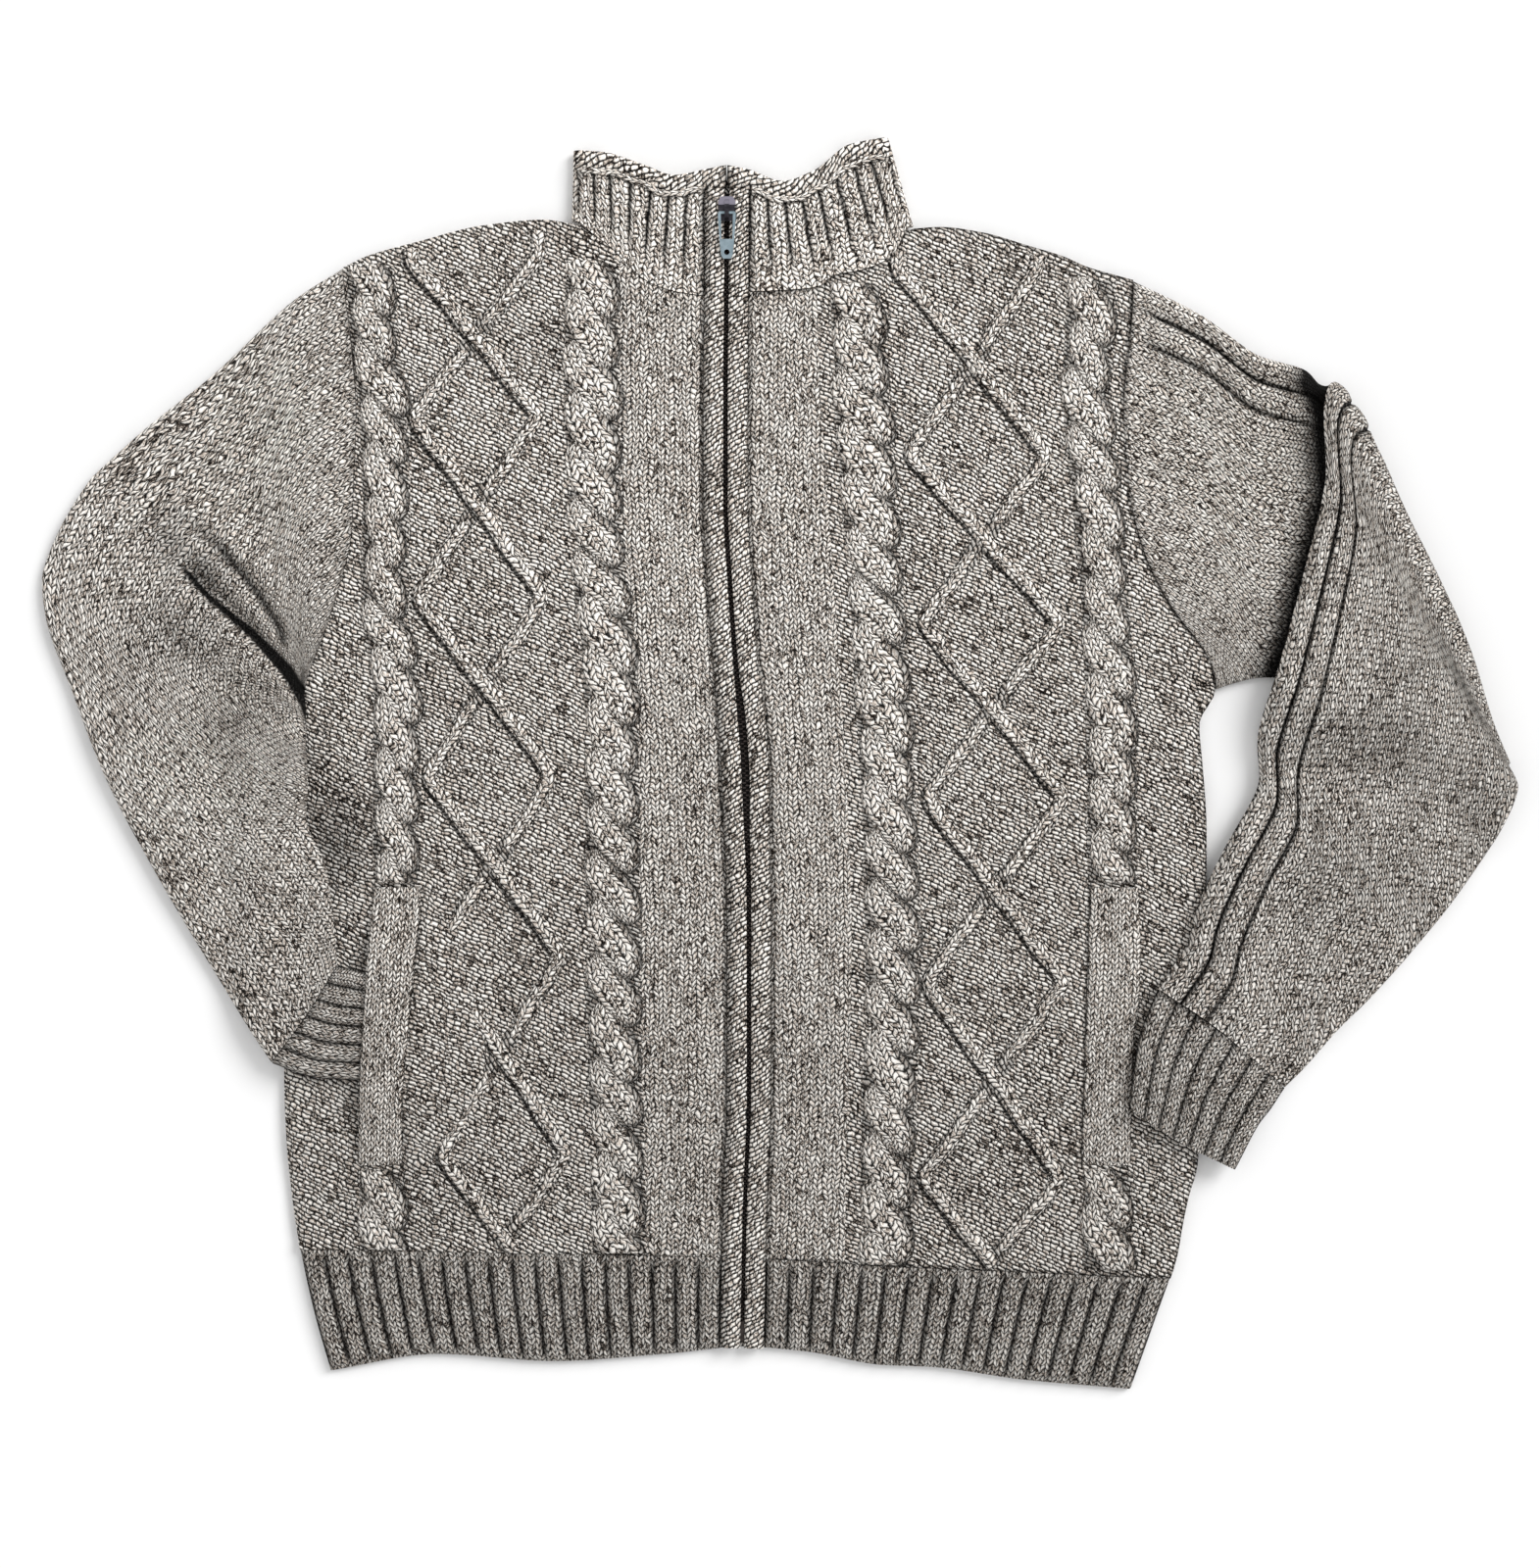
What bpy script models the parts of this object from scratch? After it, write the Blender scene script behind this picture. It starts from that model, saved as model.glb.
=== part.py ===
# A cable-knit cardigan with a stand collar and a full zip, laid flat and seen from above.
# +X runs to the right, +Y to the collar and +Z up from the floor it lies on.
# Left is the -X side. All tables and sizes are in millimetres, and MM turns them into metres.
from math import cos, hypot, pi, radians, sin

import bmesh
import bpy
import numpy as np
from mathutils import Matrix, Vector
from mathutils.geometry import delaunay_2d_cdt

MM = 0.001
OBJECT_NAME = "cardigan"

CLOTH = 3.5  # one layer of the heavy knit
SEAM = 0.3  # space between two pieces
ARMHOLE_SEAM = 1.25  # wider, as the two sides of a curved seam are cut into different steps
FRONT_LOW = CLOTH + SEAM
FRONT_HIGH = FRONT_LOW + CLOTH
EDGE_ROUND = 3.0  # how far in a cut edge is rounded
EDGE_DROP = 1.0

ROPE_HEIGHT = 2.8
ROPE_PITCH = 30.0
ROPE_LEAN = 13.0  # how far a rope's crossing drops from its left foot to its middle
RIDGE_HEIGHT = 1.9
RIDGE_FOOT = 6.2  # half widths of a diamond's ridge, measured along X
RIDGE_CREST = 2.4
RIB_PITCH = 14.0
RIB_DEPTH = 1.6
RIB_GROOVE = 0.17  # half width of a groove, as a share of the pitch

BAND_WIDTH = 11.6
BAND_TOP = 340.0
HEM_AT_ZIP = -346.0
POCKET_TOP = -73.0
POCKET_FOOT = -238.0
WELT = 2.6
WELT_LAP = 4.0  # how far the welt lies over the side of the front
LINING = 0.8

HINGE_Y = 325.2
HINGE_Z = 12.2
PULL_TILT = 3.0

# Centre of the zip and half of the slit between its two bands
ZIP_LINE = ((340, -30.0), (278, -30.5), (220, -31), (156, -31), (112, -28.7), (56, -24.7), (27, -21.5),
            (-1, -19.4), (-40, -18.3), (-80, -17.1), (-198, -17.1), (-258, -19.4), (-346, -21.2))
SLIT_HALF = ((340, 1.4), (60, 1.4), (25, 2.4), (-5, 2.4), (-60, 1.4), (-346, 1.2))

# Each side's edge, from the shoulder down the armhole, the side and the hem: Y, X
SIDE_EDGE = {
    "left": ((294, -257.5), (286, -257), (244, -252), (206, -249.7), (170, -251), (139, -252), (104, -260),
             (75, -269.5), (43, -280.4), (0, -282.5), (-100, -288), (-186, -292.5), (-225, -291), (-256, -288),
             (-288, -283), (-325, -275), (-360, -265)),
    "right": ((286.5, 210.5), (259, 209), (209, 204.5), (160, 208), (128, 215.5), (96, 230.6), (56, 257.5),
              (44, 259.5), (23, 249.8), (0, 251.5), (-41, 254), (-180, 252), (-238, 248.5), (-256, 243.5),
              (-273, 240), (-291, 237), (-305, 232.5), (-325, 225.3), (-343, 219), (-371, 209)),
}
ARMPIT_Y = {"left": 43.0, "right": 44.0}
SHOULDER = {
    "left": ((-257.5, 294), (-243, 301), (-211, 309.7), (-175, 318.4), (-139, 322), (-119, 319)),
    "right": ((210.5, 286.5), (184, 294), (168, 301), (149, 306.8), (120, 315), (97, 318), (77, 316.5)),
}
FRONT_NECK = {
    "left": ((-119, 319), (-101, 307), (-77, 285), (-60, 279), (-43.7, 276.5)),
    "right": ((77, 316.5), (67, 300), (50, 292), (34.5, 289), (23.5, 282), (5, 280), (-17, 279)),
}
BACK_NECK = ((-119, 319), (-80, 311), (-20, 308), (40, 310), (77, 316.5))
RIB_LINE = ((-283, -288), (-150, -290), (-19, -293), (83, -298.7), (232.5, -305))
HEM_EDGE = ((-265, -360), (-202, -350.3), (-132, -354.4), (-68, -350.3), (-19, -346), (16, -348.6),
            (61.8, -356.7), (90.8, -357.9), (144.7, -365.4), (209, -371))

# Rope cables: width, then a centre line of Y, X from top to foot
ROPES = {
    "left": ((31, ((298, -110), (162, -109.6), (46, -98.9), (-128, -97.2), (-290, -94))),
             (27, ((296, -241), (275, -240.4), (212, -234), (160, -232), (97, -232), (40, -225.5), (-71, -225.5))),
             (27, ((-240, -233), (-268, -233), (-290, -233)))),
    "right": ((31, ((285, 47.5), (220, 49.6), (162, 53.7), (-30, 65.8), (-99, 68.2), (-233, 65), (-297, 64))),
              (28, ((288, 186), (271, 185.6), (209, 183.3), (160, 189.4), (64, 195.8), (2, 197.8), (-71, 198))),
              (28, ((-240, 195.2), (-300, 195.2)))),
}
# Diamond lattice: Y of the side corners, then the lattice's middle as Y, X
DIAMONDS = {
    "left": {"corners": (318, 299, 206, 99, -7.5, -112.5, -231, -333), "half": 37.5,
             "middle": ((318, -180), (251, -179.5), (146, -177.8), (44.7, -173.7), (-61.5, -167),
                        (-170.5, -163.9), (-280, -160.4))},
    "right": {"corners": (306, 292, 183, 83.5, -20, -129, -245, -345), "half": 41.0,
              "middle": ((306, 112), (235.5, 115), (128, 122.5), (29, 129), (-79.5, 128), (-187, 129),
                         (-297, 124))},
}
# Pocket mouths: the welt's free edge and its seam to the front, as Y, X
POCKET_MOUTH = {
    "left": ((-58, -238), (-197, -246.8), (-245, -248.5)),
    "right": ((-60, 213), (-121, 214.5), (-172, 210.5), (-245, 208.5)),
}
POCKET_SEAM = {
    "left": ((-60, -211.5), (-89, -212), (-197, -221.3), (-245, -223)),
    "right": ((-60, 185.5), (-245, 179.5)),
}
POCKET_DEPTH = 105.0

# Collar: where its rim seam is, for each share of the way from the zip band to the fold: share, X, Y
COLLAR = {
    "left": ((0.0, -43.9, 339.6), (0.25, -62, 336.5), (0.5, -80.9, 342.8), (0.75, -102.4, 350), (1.0, -117.5, 351)),
    "right": ((0.0, -16.7, 339.6), (0.25, 4, 333), (0.5, 24, 339.5), (0.75, 45, 354.8), (1.0, 65, 359)),
}
COLLAR_RIBS = {"left": 7, "right": 8}
COLLAR_RIB_HEIGHT = 1.5
COLLAR_INSIDE = 4.2  # the collar's two layers lie this far off the floor and 0.7 apart
RIM_HEIGHT = 12.0
RIM_BULGE = 3.0

# Left sleeve stations: outer edge X, Y, middle X, Y, inner edge X, Y, height, height of the pleat on it
LEFT_SLEEVE = (
    (-285.5, 275.8, -279, 162, -283.6, 41.5, 7.8, 0),
    (-335, 230.2, -308, 139, -287.5, 40, 8.6, 0),
    (-377, 196.6, -331, 121, -290, 38.5, 9.0, 0),
    (-391, 184, -337.5, 117.5, -290.5, 37.5, 9.0, 4.5),
    (-402, 174, -343.5, 110.5, -291, 36.5, 8.6, 0),
    (-407, 169, -346.5, 107.5, -287.5, 34.5, 9.0, 9),
    (-431, 127, -364.5, 75, -285, 26, 9.0, 8),
    (-436.3, 108, -364.5, 61, -284.7, 20, 9.0, 7),
    (-434.5, 89.5, -362, 49, -284.3, 14, 9.0, 6),
    (-418.5, 43, -350, 18, -281, 3, 9.0, 4),
    (-397, -12, -335.5, -15, -277.5, -15, 9.0, 2),
    (-373, -57.5, -321, -50, -278.5, -33, 9.0, 1),
    (-349, -99, -305, -82, -267, -61, 8.6, 0),
    (-327.5, -134, -292, -112, -262.4, -90.5, 8.2, 0),
    (-299, -176.7, -277, -147, -260.1, -119.5, 7.8, 0),
)
LEFT_CUFF = (
    (-298.6, -177.1, -276.6, -147.3, -259.7, -119.8, 7.8),
    (-272, -186, -258, -152, -250, -121.5, 7.4),
    (-244.5, -187.3, -242.5, -155, -241, -123.5, 7.2),
    (-236.5, -187.2, -236, -155, -235.5, -123.8, 7.2),
    (-224.5, -186, -224.5, -155, -224.5, -124, 7.0),
)

# Right sleeve: upper arm stations up to the fold at the elbow, then the forearm, as it lies after the fold
RIGHT_UPPER_ARM = (
    (250, 266.5, 254.3, 159, 272, 48, 8.0),
    (285, 242, 286, 147, 290, 51, 8.0),
    (312.3, 233.5, 329.7, 138.6, 349, 42.5, 7.8),
)
FOLD_TOP = (325.6, 223.9)
FOLD_FOOT = (427.3, 8.0)
FOLD_HEIGHT = 10.0  # height of the fold's middle
FOLD_ARC = 17.0  # cloth used by the turn
FOLD_STEPS = 6
FOREARM = (
    (322.2, 164.7, 375, 76.5, 436, -13.5, 7.8),
    (311.2, 118.3, 366.3, 40, 423.7, -46.4, 8.0),
    (297.3, 65.5, 351.8, -0.6, 408.6, -70.2, 8.2),
    (284.5, 20.3, 337.9, -36.5, 391.2, -93.4, 8.2),
    (283.3, -15.1, 327.4, -65.5, 372.7, -115.4, 8.2),
    (264.8, -48.1, 308.3, -93.4, 351.8, -138.6, 8.2),
    (248, -83.5, 290.9, -122.4, 329.7, -160.7, 8.0),
    (240, -110, 277.5, -142.7, 314.1, -178.6, 7.9),
    (224.2, -132.8, 263.6, -160.1, 300.7, -192, 7.8),
)
RIGHT_CUFF = (
    (224.0, -133.3, 263.4, -160.6, 300.5, -192.5, 7.8),
    (216, -152, 254, -179.5, 292, -205, 7.6),
    (211.4, -168.8, 247, -191.5, 284.5, -214, 7.4),
    (206.8, -203.6, 239, -224.5, 270, -240, 7.2),
)
CUFF_RIBS = {"left": 6, "right": 7}
# The sleeve's ribbed middle strip: places across from the sleeve's outer edge, and the height there
STRIP = ((9, 1.8), (13.5, 1.4), (16, -0.3), (18.5, 1.4), (25, 1.8), (31.5, 1.4), (34, -0.3), (37, 0))


def smooth_step(low, high, value):
    share = np.clip((value - low) / (high - low), 0, 1)
    return share * share * (3 - 2 * share)


def along(rows, at):
    """The value at a key, on a smooth curve through rows of key and value, with no swing past a row."""
    keys, values = np.array(sorted(rows), float).T
    secants = np.diff(values) / np.diff(keys)
    before, after = secants[:-1], secants[1:]
    same_way = before * after > 0
    slopes = np.concatenate([secants[:1], np.where(same_way, 2 * before * after / np.where(same_way, before + after, 1),
                                                   0), secants[-1:]])
    place = np.clip(np.searchsorted(keys, at) - 1, 0, len(keys) - 2)
    step = keys[place + 1] - keys[place]
    t = np.clip((at - keys[place]) / step, 0, 1)
    start = (1 + 2 * t) * (1 - t) ** 2 * values[place] + t * (1 - t) ** 2 * step * slopes[place]
    end = t * t * (3 - 2 * t) * values[place + 1] + t * t * (t - 1) * step * slopes[place + 1]
    return start + end


def smooth_path(points, spacing):
    """Points about this far apart on a smooth curve through the given ones."""
    points = np.array(points, float)
    length = np.concatenate([[0], np.cumsum(np.hypot(*np.diff(points, axis=0).T))])
    at = np.linspace(0, length[-1], max(2, int(round(length[-1] / spacing)) + 1))
    return np.stack([along(list(zip(length, axis)), at) for axis in points.T], axis=1)


def line_down(rows, top, foot, spacing, shift=0.0):
    """Points down a line that is given as Y, X."""
    y = np.linspace(top, foot, max(2, int(round(abs(top - foot) / spacing)) + 1))
    return np.stack([along(rows, y) + shift, y], axis=1)


def line_across(rows, start, end, spacing, shift=0.0):
    """Points along a line that is given as X, Y."""
    x = np.linspace(start, end, max(2, int(round(abs(end - start) / spacing)) + 1))
    return np.stack([x, along(rows, x) + shift], axis=1)


def joined(*paths):
    """One closed outline from paths that meet end to end."""
    points = [paths[0][0]]
    for path in paths:
        for point in path:
            if hypot(*(point - points[-1])) > 0.5:
                points.append(point)
    return np.array(points[:-1] if hypot(*(points[-1] - points[0])) < 0.5 else points)


def distance_to(points, outline):
    """Each point's distance to a closed outline."""
    start = outline
    run = np.roll(outline, -1, axis=0) - start
    share = np.clip(((points[:, None] - start) * run).sum(-1) / (run * run).sum(-1), 0, 1)
    return np.linalg.norm(points[:, None] - start - share[..., None] * run, axis=-1).min(axis=1)


def side_line(side, top, foot):
    """Down the side's edge, with closer points round the armhole."""
    armpit = ARMPIT_Y[side]
    return np.vstack([line_down(SIDE_EDGE[side], top, armpit, 12),
                      line_down(SIDE_EDGE[side], armpit, foot, 26)[1:]])


def inset(outline, by):
    """The outline moved in by this much."""
    before = np.roll(outline, 1, axis=0)
    after = np.roll(outline, -1, axis=0)
    run = after - before
    run /= np.linalg.norm(run, axis=1)[:, None]
    area = (outline[:, 0] * after[:, 1] - outline[:, 1] * after[:, 0]).sum()
    moved = outline + by * np.sign(area) * np.stack([-run[:, 1], run[:, 0]], axis=1)
    return moved[distance_to(moved, outline) > 0.7 * by]


def triangulate(loops, lines, points):
    """Flat triangles inside the first loop and outside the others, with edges along the lines."""
    coords, edges, faces = [], [], []
    for loop in loops:
        ahead = np.roll(loop, -1, axis=0)
        if (loop[:, 0] * ahead[:, 1] - loop[:, 1] * ahead[:, 0]).sum() < 0:
            loop = loop[::-1]
        faces.append(list(range(len(coords), len(coords) + len(loop))))
        coords.extend(Vector((float(x), float(y))) for x, y in loop)
    for line in lines:
        ids = range(len(coords), len(coords) + len(line))
        edges.extend(zip(ids[:-1], ids[1:]))
        coords.extend(Vector((float(x), float(y))) for x, y in line)
    coords.extend(Vector((float(x), float(y))) for x, y in points)
    found, _, triangles, _, _, owners = delaunay_2d_cdt(coords, edges, faces, 0, 0.01, True)
    inside = [list(tri) for tri, owner in zip(triangles, owners) if list(owner) == [0]]
    used = sorted({corner for tri in inside for corner in tri})
    renumbered = {old: new for new, old in enumerate(used)}
    flat = np.array([found[index] for index in used])
    result = []
    for tri in inside:
        a, b, c = (renumbered[corner] for corner in tri)
        turn = np.cross(flat[b] - flat[a], flat[c] - flat[a])
        result.append((a, b, c) if turn > 0 else (a, c, b))
    return flat, result


def boundary_loops(triangles):
    """The edges that one triangle alone has, walked into closed loops."""
    directed = {(tri[k], tri[(k + 1) % 3]) for tri in triangles for k in range(3)}
    follow = {a: b for a, b in directed if (b, a) not in directed}
    loops = []
    while follow:
        loop = [next(iter(follow))]
        while follow.get(loop[-1]) is not None:
            loop.append(follow.pop(loop[-1]))
        loops.append(loop[:-1])
    return loops


def new_object(name, mesh_data, material):
    mesh = bpy.data.meshes.new(name)
    mesh_data.to_mesh(mesh)
    mesh_data.free()
    mesh.materials.append(material)
    mesh.shade_smooth()
    mesh.set_sharp_from_angle(angle=radians(50))
    obj = bpy.data.objects.new(name, mesh)
    PARTS.objects.link(obj)
    return obj


def panel(name, loops, lines, top, low, material, under_points=(), edge_drop=EDGE_DROP):
    """A wall between an upper surface with detail and a plain lower one, over the same outline."""
    rounded = inset(loops[0], EDGE_ROUND)
    flat, upper = triangulate(loops, list(lines) + [np.vstack([rounded, rounded[:1]])], ())
    edges = boundary_loops(upper)
    rim = [flat[loop] for loop in edges]
    rim.sort(key=lambda loop: -len(loop) if len(edges) == 1 else -np.ptp(loop[:, 1]))
    edges.sort(key=lambda loop: -np.ptp(flat[loop][:, 1]))
    below, lower = triangulate(rim, (), under_points)
    drop = edge_drop * (1 - smooth_step(0, EDGE_ROUND, distance_to(flat, np.array(loops[0]))))
    shape = bmesh.new()
    high_verts = [shape.verts.new((x * MM, y * MM, z * MM))
                  for (x, y), z in zip(flat, top(*flat.T) - drop)]
    low_verts = [shape.verts.new((x * MM, y * MM, z * MM))
                 for (x, y), z in zip(below, low(*below.T))]
    for tri in upper:
        shape.faces.new([high_verts[i] for i in tri])
    for tri in lower:
        shape.faces.new([low_verts[i] for i in reversed(tri)])
    nearest = {tuple(np.round(point, 3)): vert for point, vert in zip(below, low_verts)}
    for loop in edges:
        for a, b in zip(loop, loop[1:] + loop[:1]):
            low_a = nearest[tuple(np.round(flat[a], 3))]
            low_b = nearest[tuple(np.round(flat[b], 3))]
            shape.faces.new((high_verts[b], high_verts[a], low_a, low_b))
    return new_object(name, shape, material)


def grid_wall(name, outer, inner, wrap, material):
    """A wall between two grids of points: rows of stations, each a ring (wrap) or an open strip."""
    shape = bmesh.new()
    sides = [[[shape.verts.new(Vector(point) * MM) for point in row] for row in grid] for grid in (outer, inner)]
    rows = len(outer)
    count = len(outer[0])
    last = count if wrap else count - 1
    for grid in sides:
        for i in range(rows - 1):
            for k in range(last):
                corners = (grid[i][k], grid[i + 1][k], grid[i + 1][(k + 1) % count], grid[i][(k + 1) % count])
                shape.faces.new(corners)
    for i in (0, rows - 1):
        for k in range(last):
            shape.faces.new((sides[0][i][k], sides[0][i][(k + 1) % count],
                             sides[1][i][(k + 1) % count], sides[1][i][k]))
    if not wrap:
        for k in (0, count - 1):
            for i in range(rows - 1):
                shape.faces.new((sides[0][i][k], sides[0][i + 1][k], sides[1][i + 1][k], sides[1][i][k]))
    bmesh.ops.recalc_face_normals(shape, faces=shape.faces)
    return new_object(name, shape, material)


def sweep(name, y_places, line, profile, material):
    """A closed profile of offset and height, carried along a line that is given as Y, X."""
    shape = bmesh.new()
    rings = [[shape.verts.new(((along(line, y) + dx) * MM, y * MM, z * MM)) for dx, z in profile(y)]
             for y in y_places]
    count = len(rings[0])
    for ring, following in zip(rings, rings[1:]):
        for k in range(count):
            shape.faces.new((ring[k], following[k], following[(k + 1) % count], ring[(k + 1) % count]))
    shape.faces.new(rings[0])
    shape.faces.new(rings[-1])
    bmesh.ops.recalc_face_normals(shape, faces=shape.faces)
    return new_object(name, shape, material)


def colour(name, rgb, roughness, metallic=0.0):
    material = bpy.data.materials.new(name)
    material.use_nodes = True
    shader = material.node_tree.nodes["Principled BSDF"]
    shader.inputs["Base Color"].default_value = (*rgb, 1)
    shader.inputs["Roughness"].default_value = roughness
    shader.inputs["Metallic"].default_value = metallic
    return material


def zip_edge(side, y):
    """Where the front meets the zip band."""
    reach = along(SLIT_HALF, y) + BAND_WIDTH + SEAM
    return along(ZIP_LINE, y) + (reach if side == "right" else -reach)


def zip_places(top, foot):
    """Y places down the zip, the same ones for every piece that lies along it."""
    inside = [y for y in range(340, -350, -20) if foot + 3 < y < top - 3]
    return np.array([top, *inside, foot], float)


def zip_edge_line(side, top, foot):
    y = zip_places(max(top, foot), min(top, foot))
    y = y if top > foot else y[::-1]
    return np.stack([zip_edge(side, y), y], axis=1)


def rope_relief(ropes, x, y):
    height = np.zeros_like(x)
    for width, line in ropes:
        across = (x - along(line, y)) / (width / 2)
        turn = np.abs(np.sin(pi * (y + ROPE_LEAN * across) / ROPE_PITCH)) ** 0.8
        ends = smooth_step(0, 5, line[0][0] - y) * smooth_step(0, 5, y - line[-1][0])
        bulge = np.sqrt(np.clip(1 - across * across, 0, 1)) * (0.3 + 0.7 * turn)
        height = np.maximum(height, ROPE_HEIGHT * bulge * ends)
    return height


def rope_lines(ropes):
    """Both feet of each rope, and a line along each crossing and each strand between them."""
    lines = []
    for width, line in ropes:
        top = line[0][0]
        foot = line[-1][0]
        for side in (-1, 1):
            lines.append(line_down(line, top, foot, ROPE_PITCH / 2, side * width / 2))
        step = ROPE_PITCH / 2
        for k in range(int(foot // step), int(top // step) + 2):
            across = np.array((-0.92, -0.5, 0, 0.5, 0.92))
            y = k * step - ROPE_LEAN * across
            inside = (y < top - 2) & (y > foot + 2)
            if inside.sum() > 1:
                x = along(line, y) + across * width / 2
                lines.append(np.stack([x, y], axis=1)[inside])
    return lines


def zigzags(lattice):
    """The two zigzag lines of the diamond lattice, as Y, X."""
    corners = lattice["corners"]
    lines = []
    for turn in (-1, 1):
        lines.append([(y, along(lattice["middle"], y) + turn * (-1) ** k * lattice["half"])
                      for k, y in enumerate(corners[1:])])
    return lines


def zigzag_x(line, y):
    keys, values = np.array(sorted(line)).T
    return np.interp(y, keys, values)


def ridge_relief(lattice, x, y):
    height = np.zeros_like(x)
    for line in zigzags(lattice):
        away = np.abs(x - zigzag_x(line, y))
        height = np.maximum(height, RIDGE_HEIGHT * np.clip((RIDGE_FOOT - away) / (RIDGE_FOOT - RIDGE_CREST), 0, 1))
    return height


def ridge_lines(lattice):
    return [np.array([(x + shift, y) for y, x in line])
            for line in zigzags(lattice)
            for shift in (-RIDGE_FOOT, -RIDGE_CREST, RIDGE_CREST, RIDGE_FOOT)]


def pocket_lift(x, y):
    """How far the left front rises over the cuff in its pocket."""
    across = smooth_step(-165, -222, x) * (x > along(POCKET_SEAM["left"], y) - 3)
    up = smooth_step(-84, -121, y) * smooth_step(-232, -190, y)
    return 9.0 * across * up


def lining_room(side, x, y):
    """The front's underside is this much higher where a pocket lining lies below it."""
    toward_zip = 1 if side == "left" else -1
    seam = along(POCKET_SEAM[side], y)
    inward = (x - seam) * toward_zip
    across = smooth_step(-60, -50, inward) * smooth_step(POCKET_DEPTH + 18, POCKET_DEPTH + 7, inward)
    up = smooth_step(POCKET_TOP + 14, POCKET_TOP + 4, y) * smooth_step(POCKET_FOOT - 24, POCKET_FOOT - 14, y)
    return (LINING + SEAM) * across * up


def front_outline(side):
    corner = SHOULDER[side][0]
    neck = smooth_path(FRONT_NECK[side][::-1], 7)
    start = np.array([[zip_edge(side, neck[0][1]), neck[0][1]]])
    down = side_line(side, corner[1], along(RIB_LINE, SIDE_EDGE[side][14][1]))
    rib = line_across(RIB_LINE, down[-1][0], zip_edge(side, -293.0), 40)
    up = zip_edge_line(side, rib[-1][1], start[0][1])
    return joined(start, neck[1:], smooth_path(SHOULDER[side][::-1], 22), down, rib, up)


def pocket_window(side):
    toward_zip = 1 if side == "left" else -1
    seam = line_down(POCKET_SEAM[side], POCKET_TOP, POCKET_FOOT, 20)
    mouth = line_down(POCKET_MOUTH[side], POCKET_FOOT, POCKET_TOP, 20, toward_zip * WELT_LAP)
    return joined(seam, mouth)


def make_front(side, material):
    rope = ROPES[side]
    lattice = DIAMONDS[side]

    def lift(x, y):
        return pocket_lift(x, y) if side == "left" else 0 * x

    def top(x, y):
        return FRONT_HIGH + lift(x, y) + np.maximum(rope_relief(rope, x, y), ridge_relief(lattice, x, y))

    def low(x, y):
        return FRONT_LOW + lift(x, y) + lining_room(side, x, y)

    sign = 1 if side == "left" else -1
    seam_x = POCKET_SEAM[side][1][1]
    under = [(seam_x + sign * (dx + 0.4 * row), -56 - 12.5 * row)
             for row in range(18) for dx in (-52, -46, 5, 18, 31, 44, 58, 72, 90, POCKET_DEPTH + 6, POCKET_DEPTH + 18)]
    window = pocket_window(side)
    outline = front_outline(side)
    spots = np.array(under)
    clear = (distance_to(spots, window) > 2) & (distance_to(spots, outline) > 4)
    low_points = [spot for spot, keep in zip(spots, clear) if keep]
    panel(f"front_{side}", [outline, window], rope_lines(rope) + ridge_lines(lattice), top, low, material, low_points)


def make_back(material):
    left = side_line("left", SHOULDER["left"][0][1], along(RIB_LINE, -283.0))
    right = side_line("right", SHOULDER["right"][0][1], along(RIB_LINE, 232.5))
    outline = joined(smooth_path(BACK_NECK, 22), smooth_path(SHOULDER["right"][::-1], 22), right,
                     line_across(RIB_LINE, right[-1][0], left[-1][0], 60), left[::-1],
                     smooth_path(SHOULDER["left"], 22))
    panel("back", [outline], [], lambda x, y: CLOTH + 0 * x, lambda x, y: 0 * x, material)


def hem_share(x, y, side):
    """Share of the way from the zip to the side, for a hem."""
    start = zip_edge(side, y)
    return (x - start) / (along(SIDE_EDGE[side], y) - start)


def make_hem(side, material):
    top_y = along(RIB_LINE, SIDE_EDGE[side][14][1])
    corner_y = HEM_EDGE[0][1] if side == "left" else HEM_EDGE[-1][1]
    down = line_down(SIDE_EDGE[side], top_y - SEAM, corner_y, 20)
    start_x = zip_edge(side, -293.0)
    end_x = zip_edge(side, -346.0)
    ribs = int(round(abs(along(SIDE_EDGE[side], -305.0) - start_x) / RIB_PITCH))

    def top(x, y):
        phase = hem_share(x, y, side) * ribs
        away = np.abs(phase - np.round(phase))
        return FRONT_HIGH - 0.4 + RIB_DEPTH * np.clip(away / RIB_GROOVE, 0, 1)

    outline = joined(line_across(RIB_LINE, start_x, down[0][0], 40, -SEAM), down,
                     line_across(HEM_EDGE, down[-1][0], end_x, 22),
                     zip_edge_line(side, along(HEM_EDGE, end_x), along(RIB_LINE, start_x) - SEAM))
    lines = []
    for rib in range(ribs + 1):
        for shift in (-RIB_GROOVE, 0, RIB_GROOVE):
            share = (rib + shift) / ribs
            if 0.02 < share < 0.98:
                y = np.linspace(-280, -376, 5)
                start = zip_edge(side, y)
                lines.append(np.stack([start + share * (along(SIDE_EDGE[side], y) - start), y], axis=1))
    panel(f"hem_front_{side}", [outline], lines, top, lambda x, y: FRONT_LOW + 0 * x, material)


def make_back_hem(material):
    left = line_down(SIDE_EDGE["left"], along(RIB_LINE, -283.0) - SEAM, HEM_EDGE[0][1], 20)
    right = line_down(SIDE_EDGE["right"], along(RIB_LINE, 232.5) - SEAM, HEM_EDGE[-1][1], 20)
    outline = joined(line_across(RIB_LINE, left[0][0], right[0][0], 60, -SEAM), right,
                     line_across(HEM_EDGE, right[-1][0], left[-1][0], 22), left[::-1])
    panel("hem_back", [outline], [], lambda x, y: CLOTH + 0 * x, lambda x, y: 0 * x, material)


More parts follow.
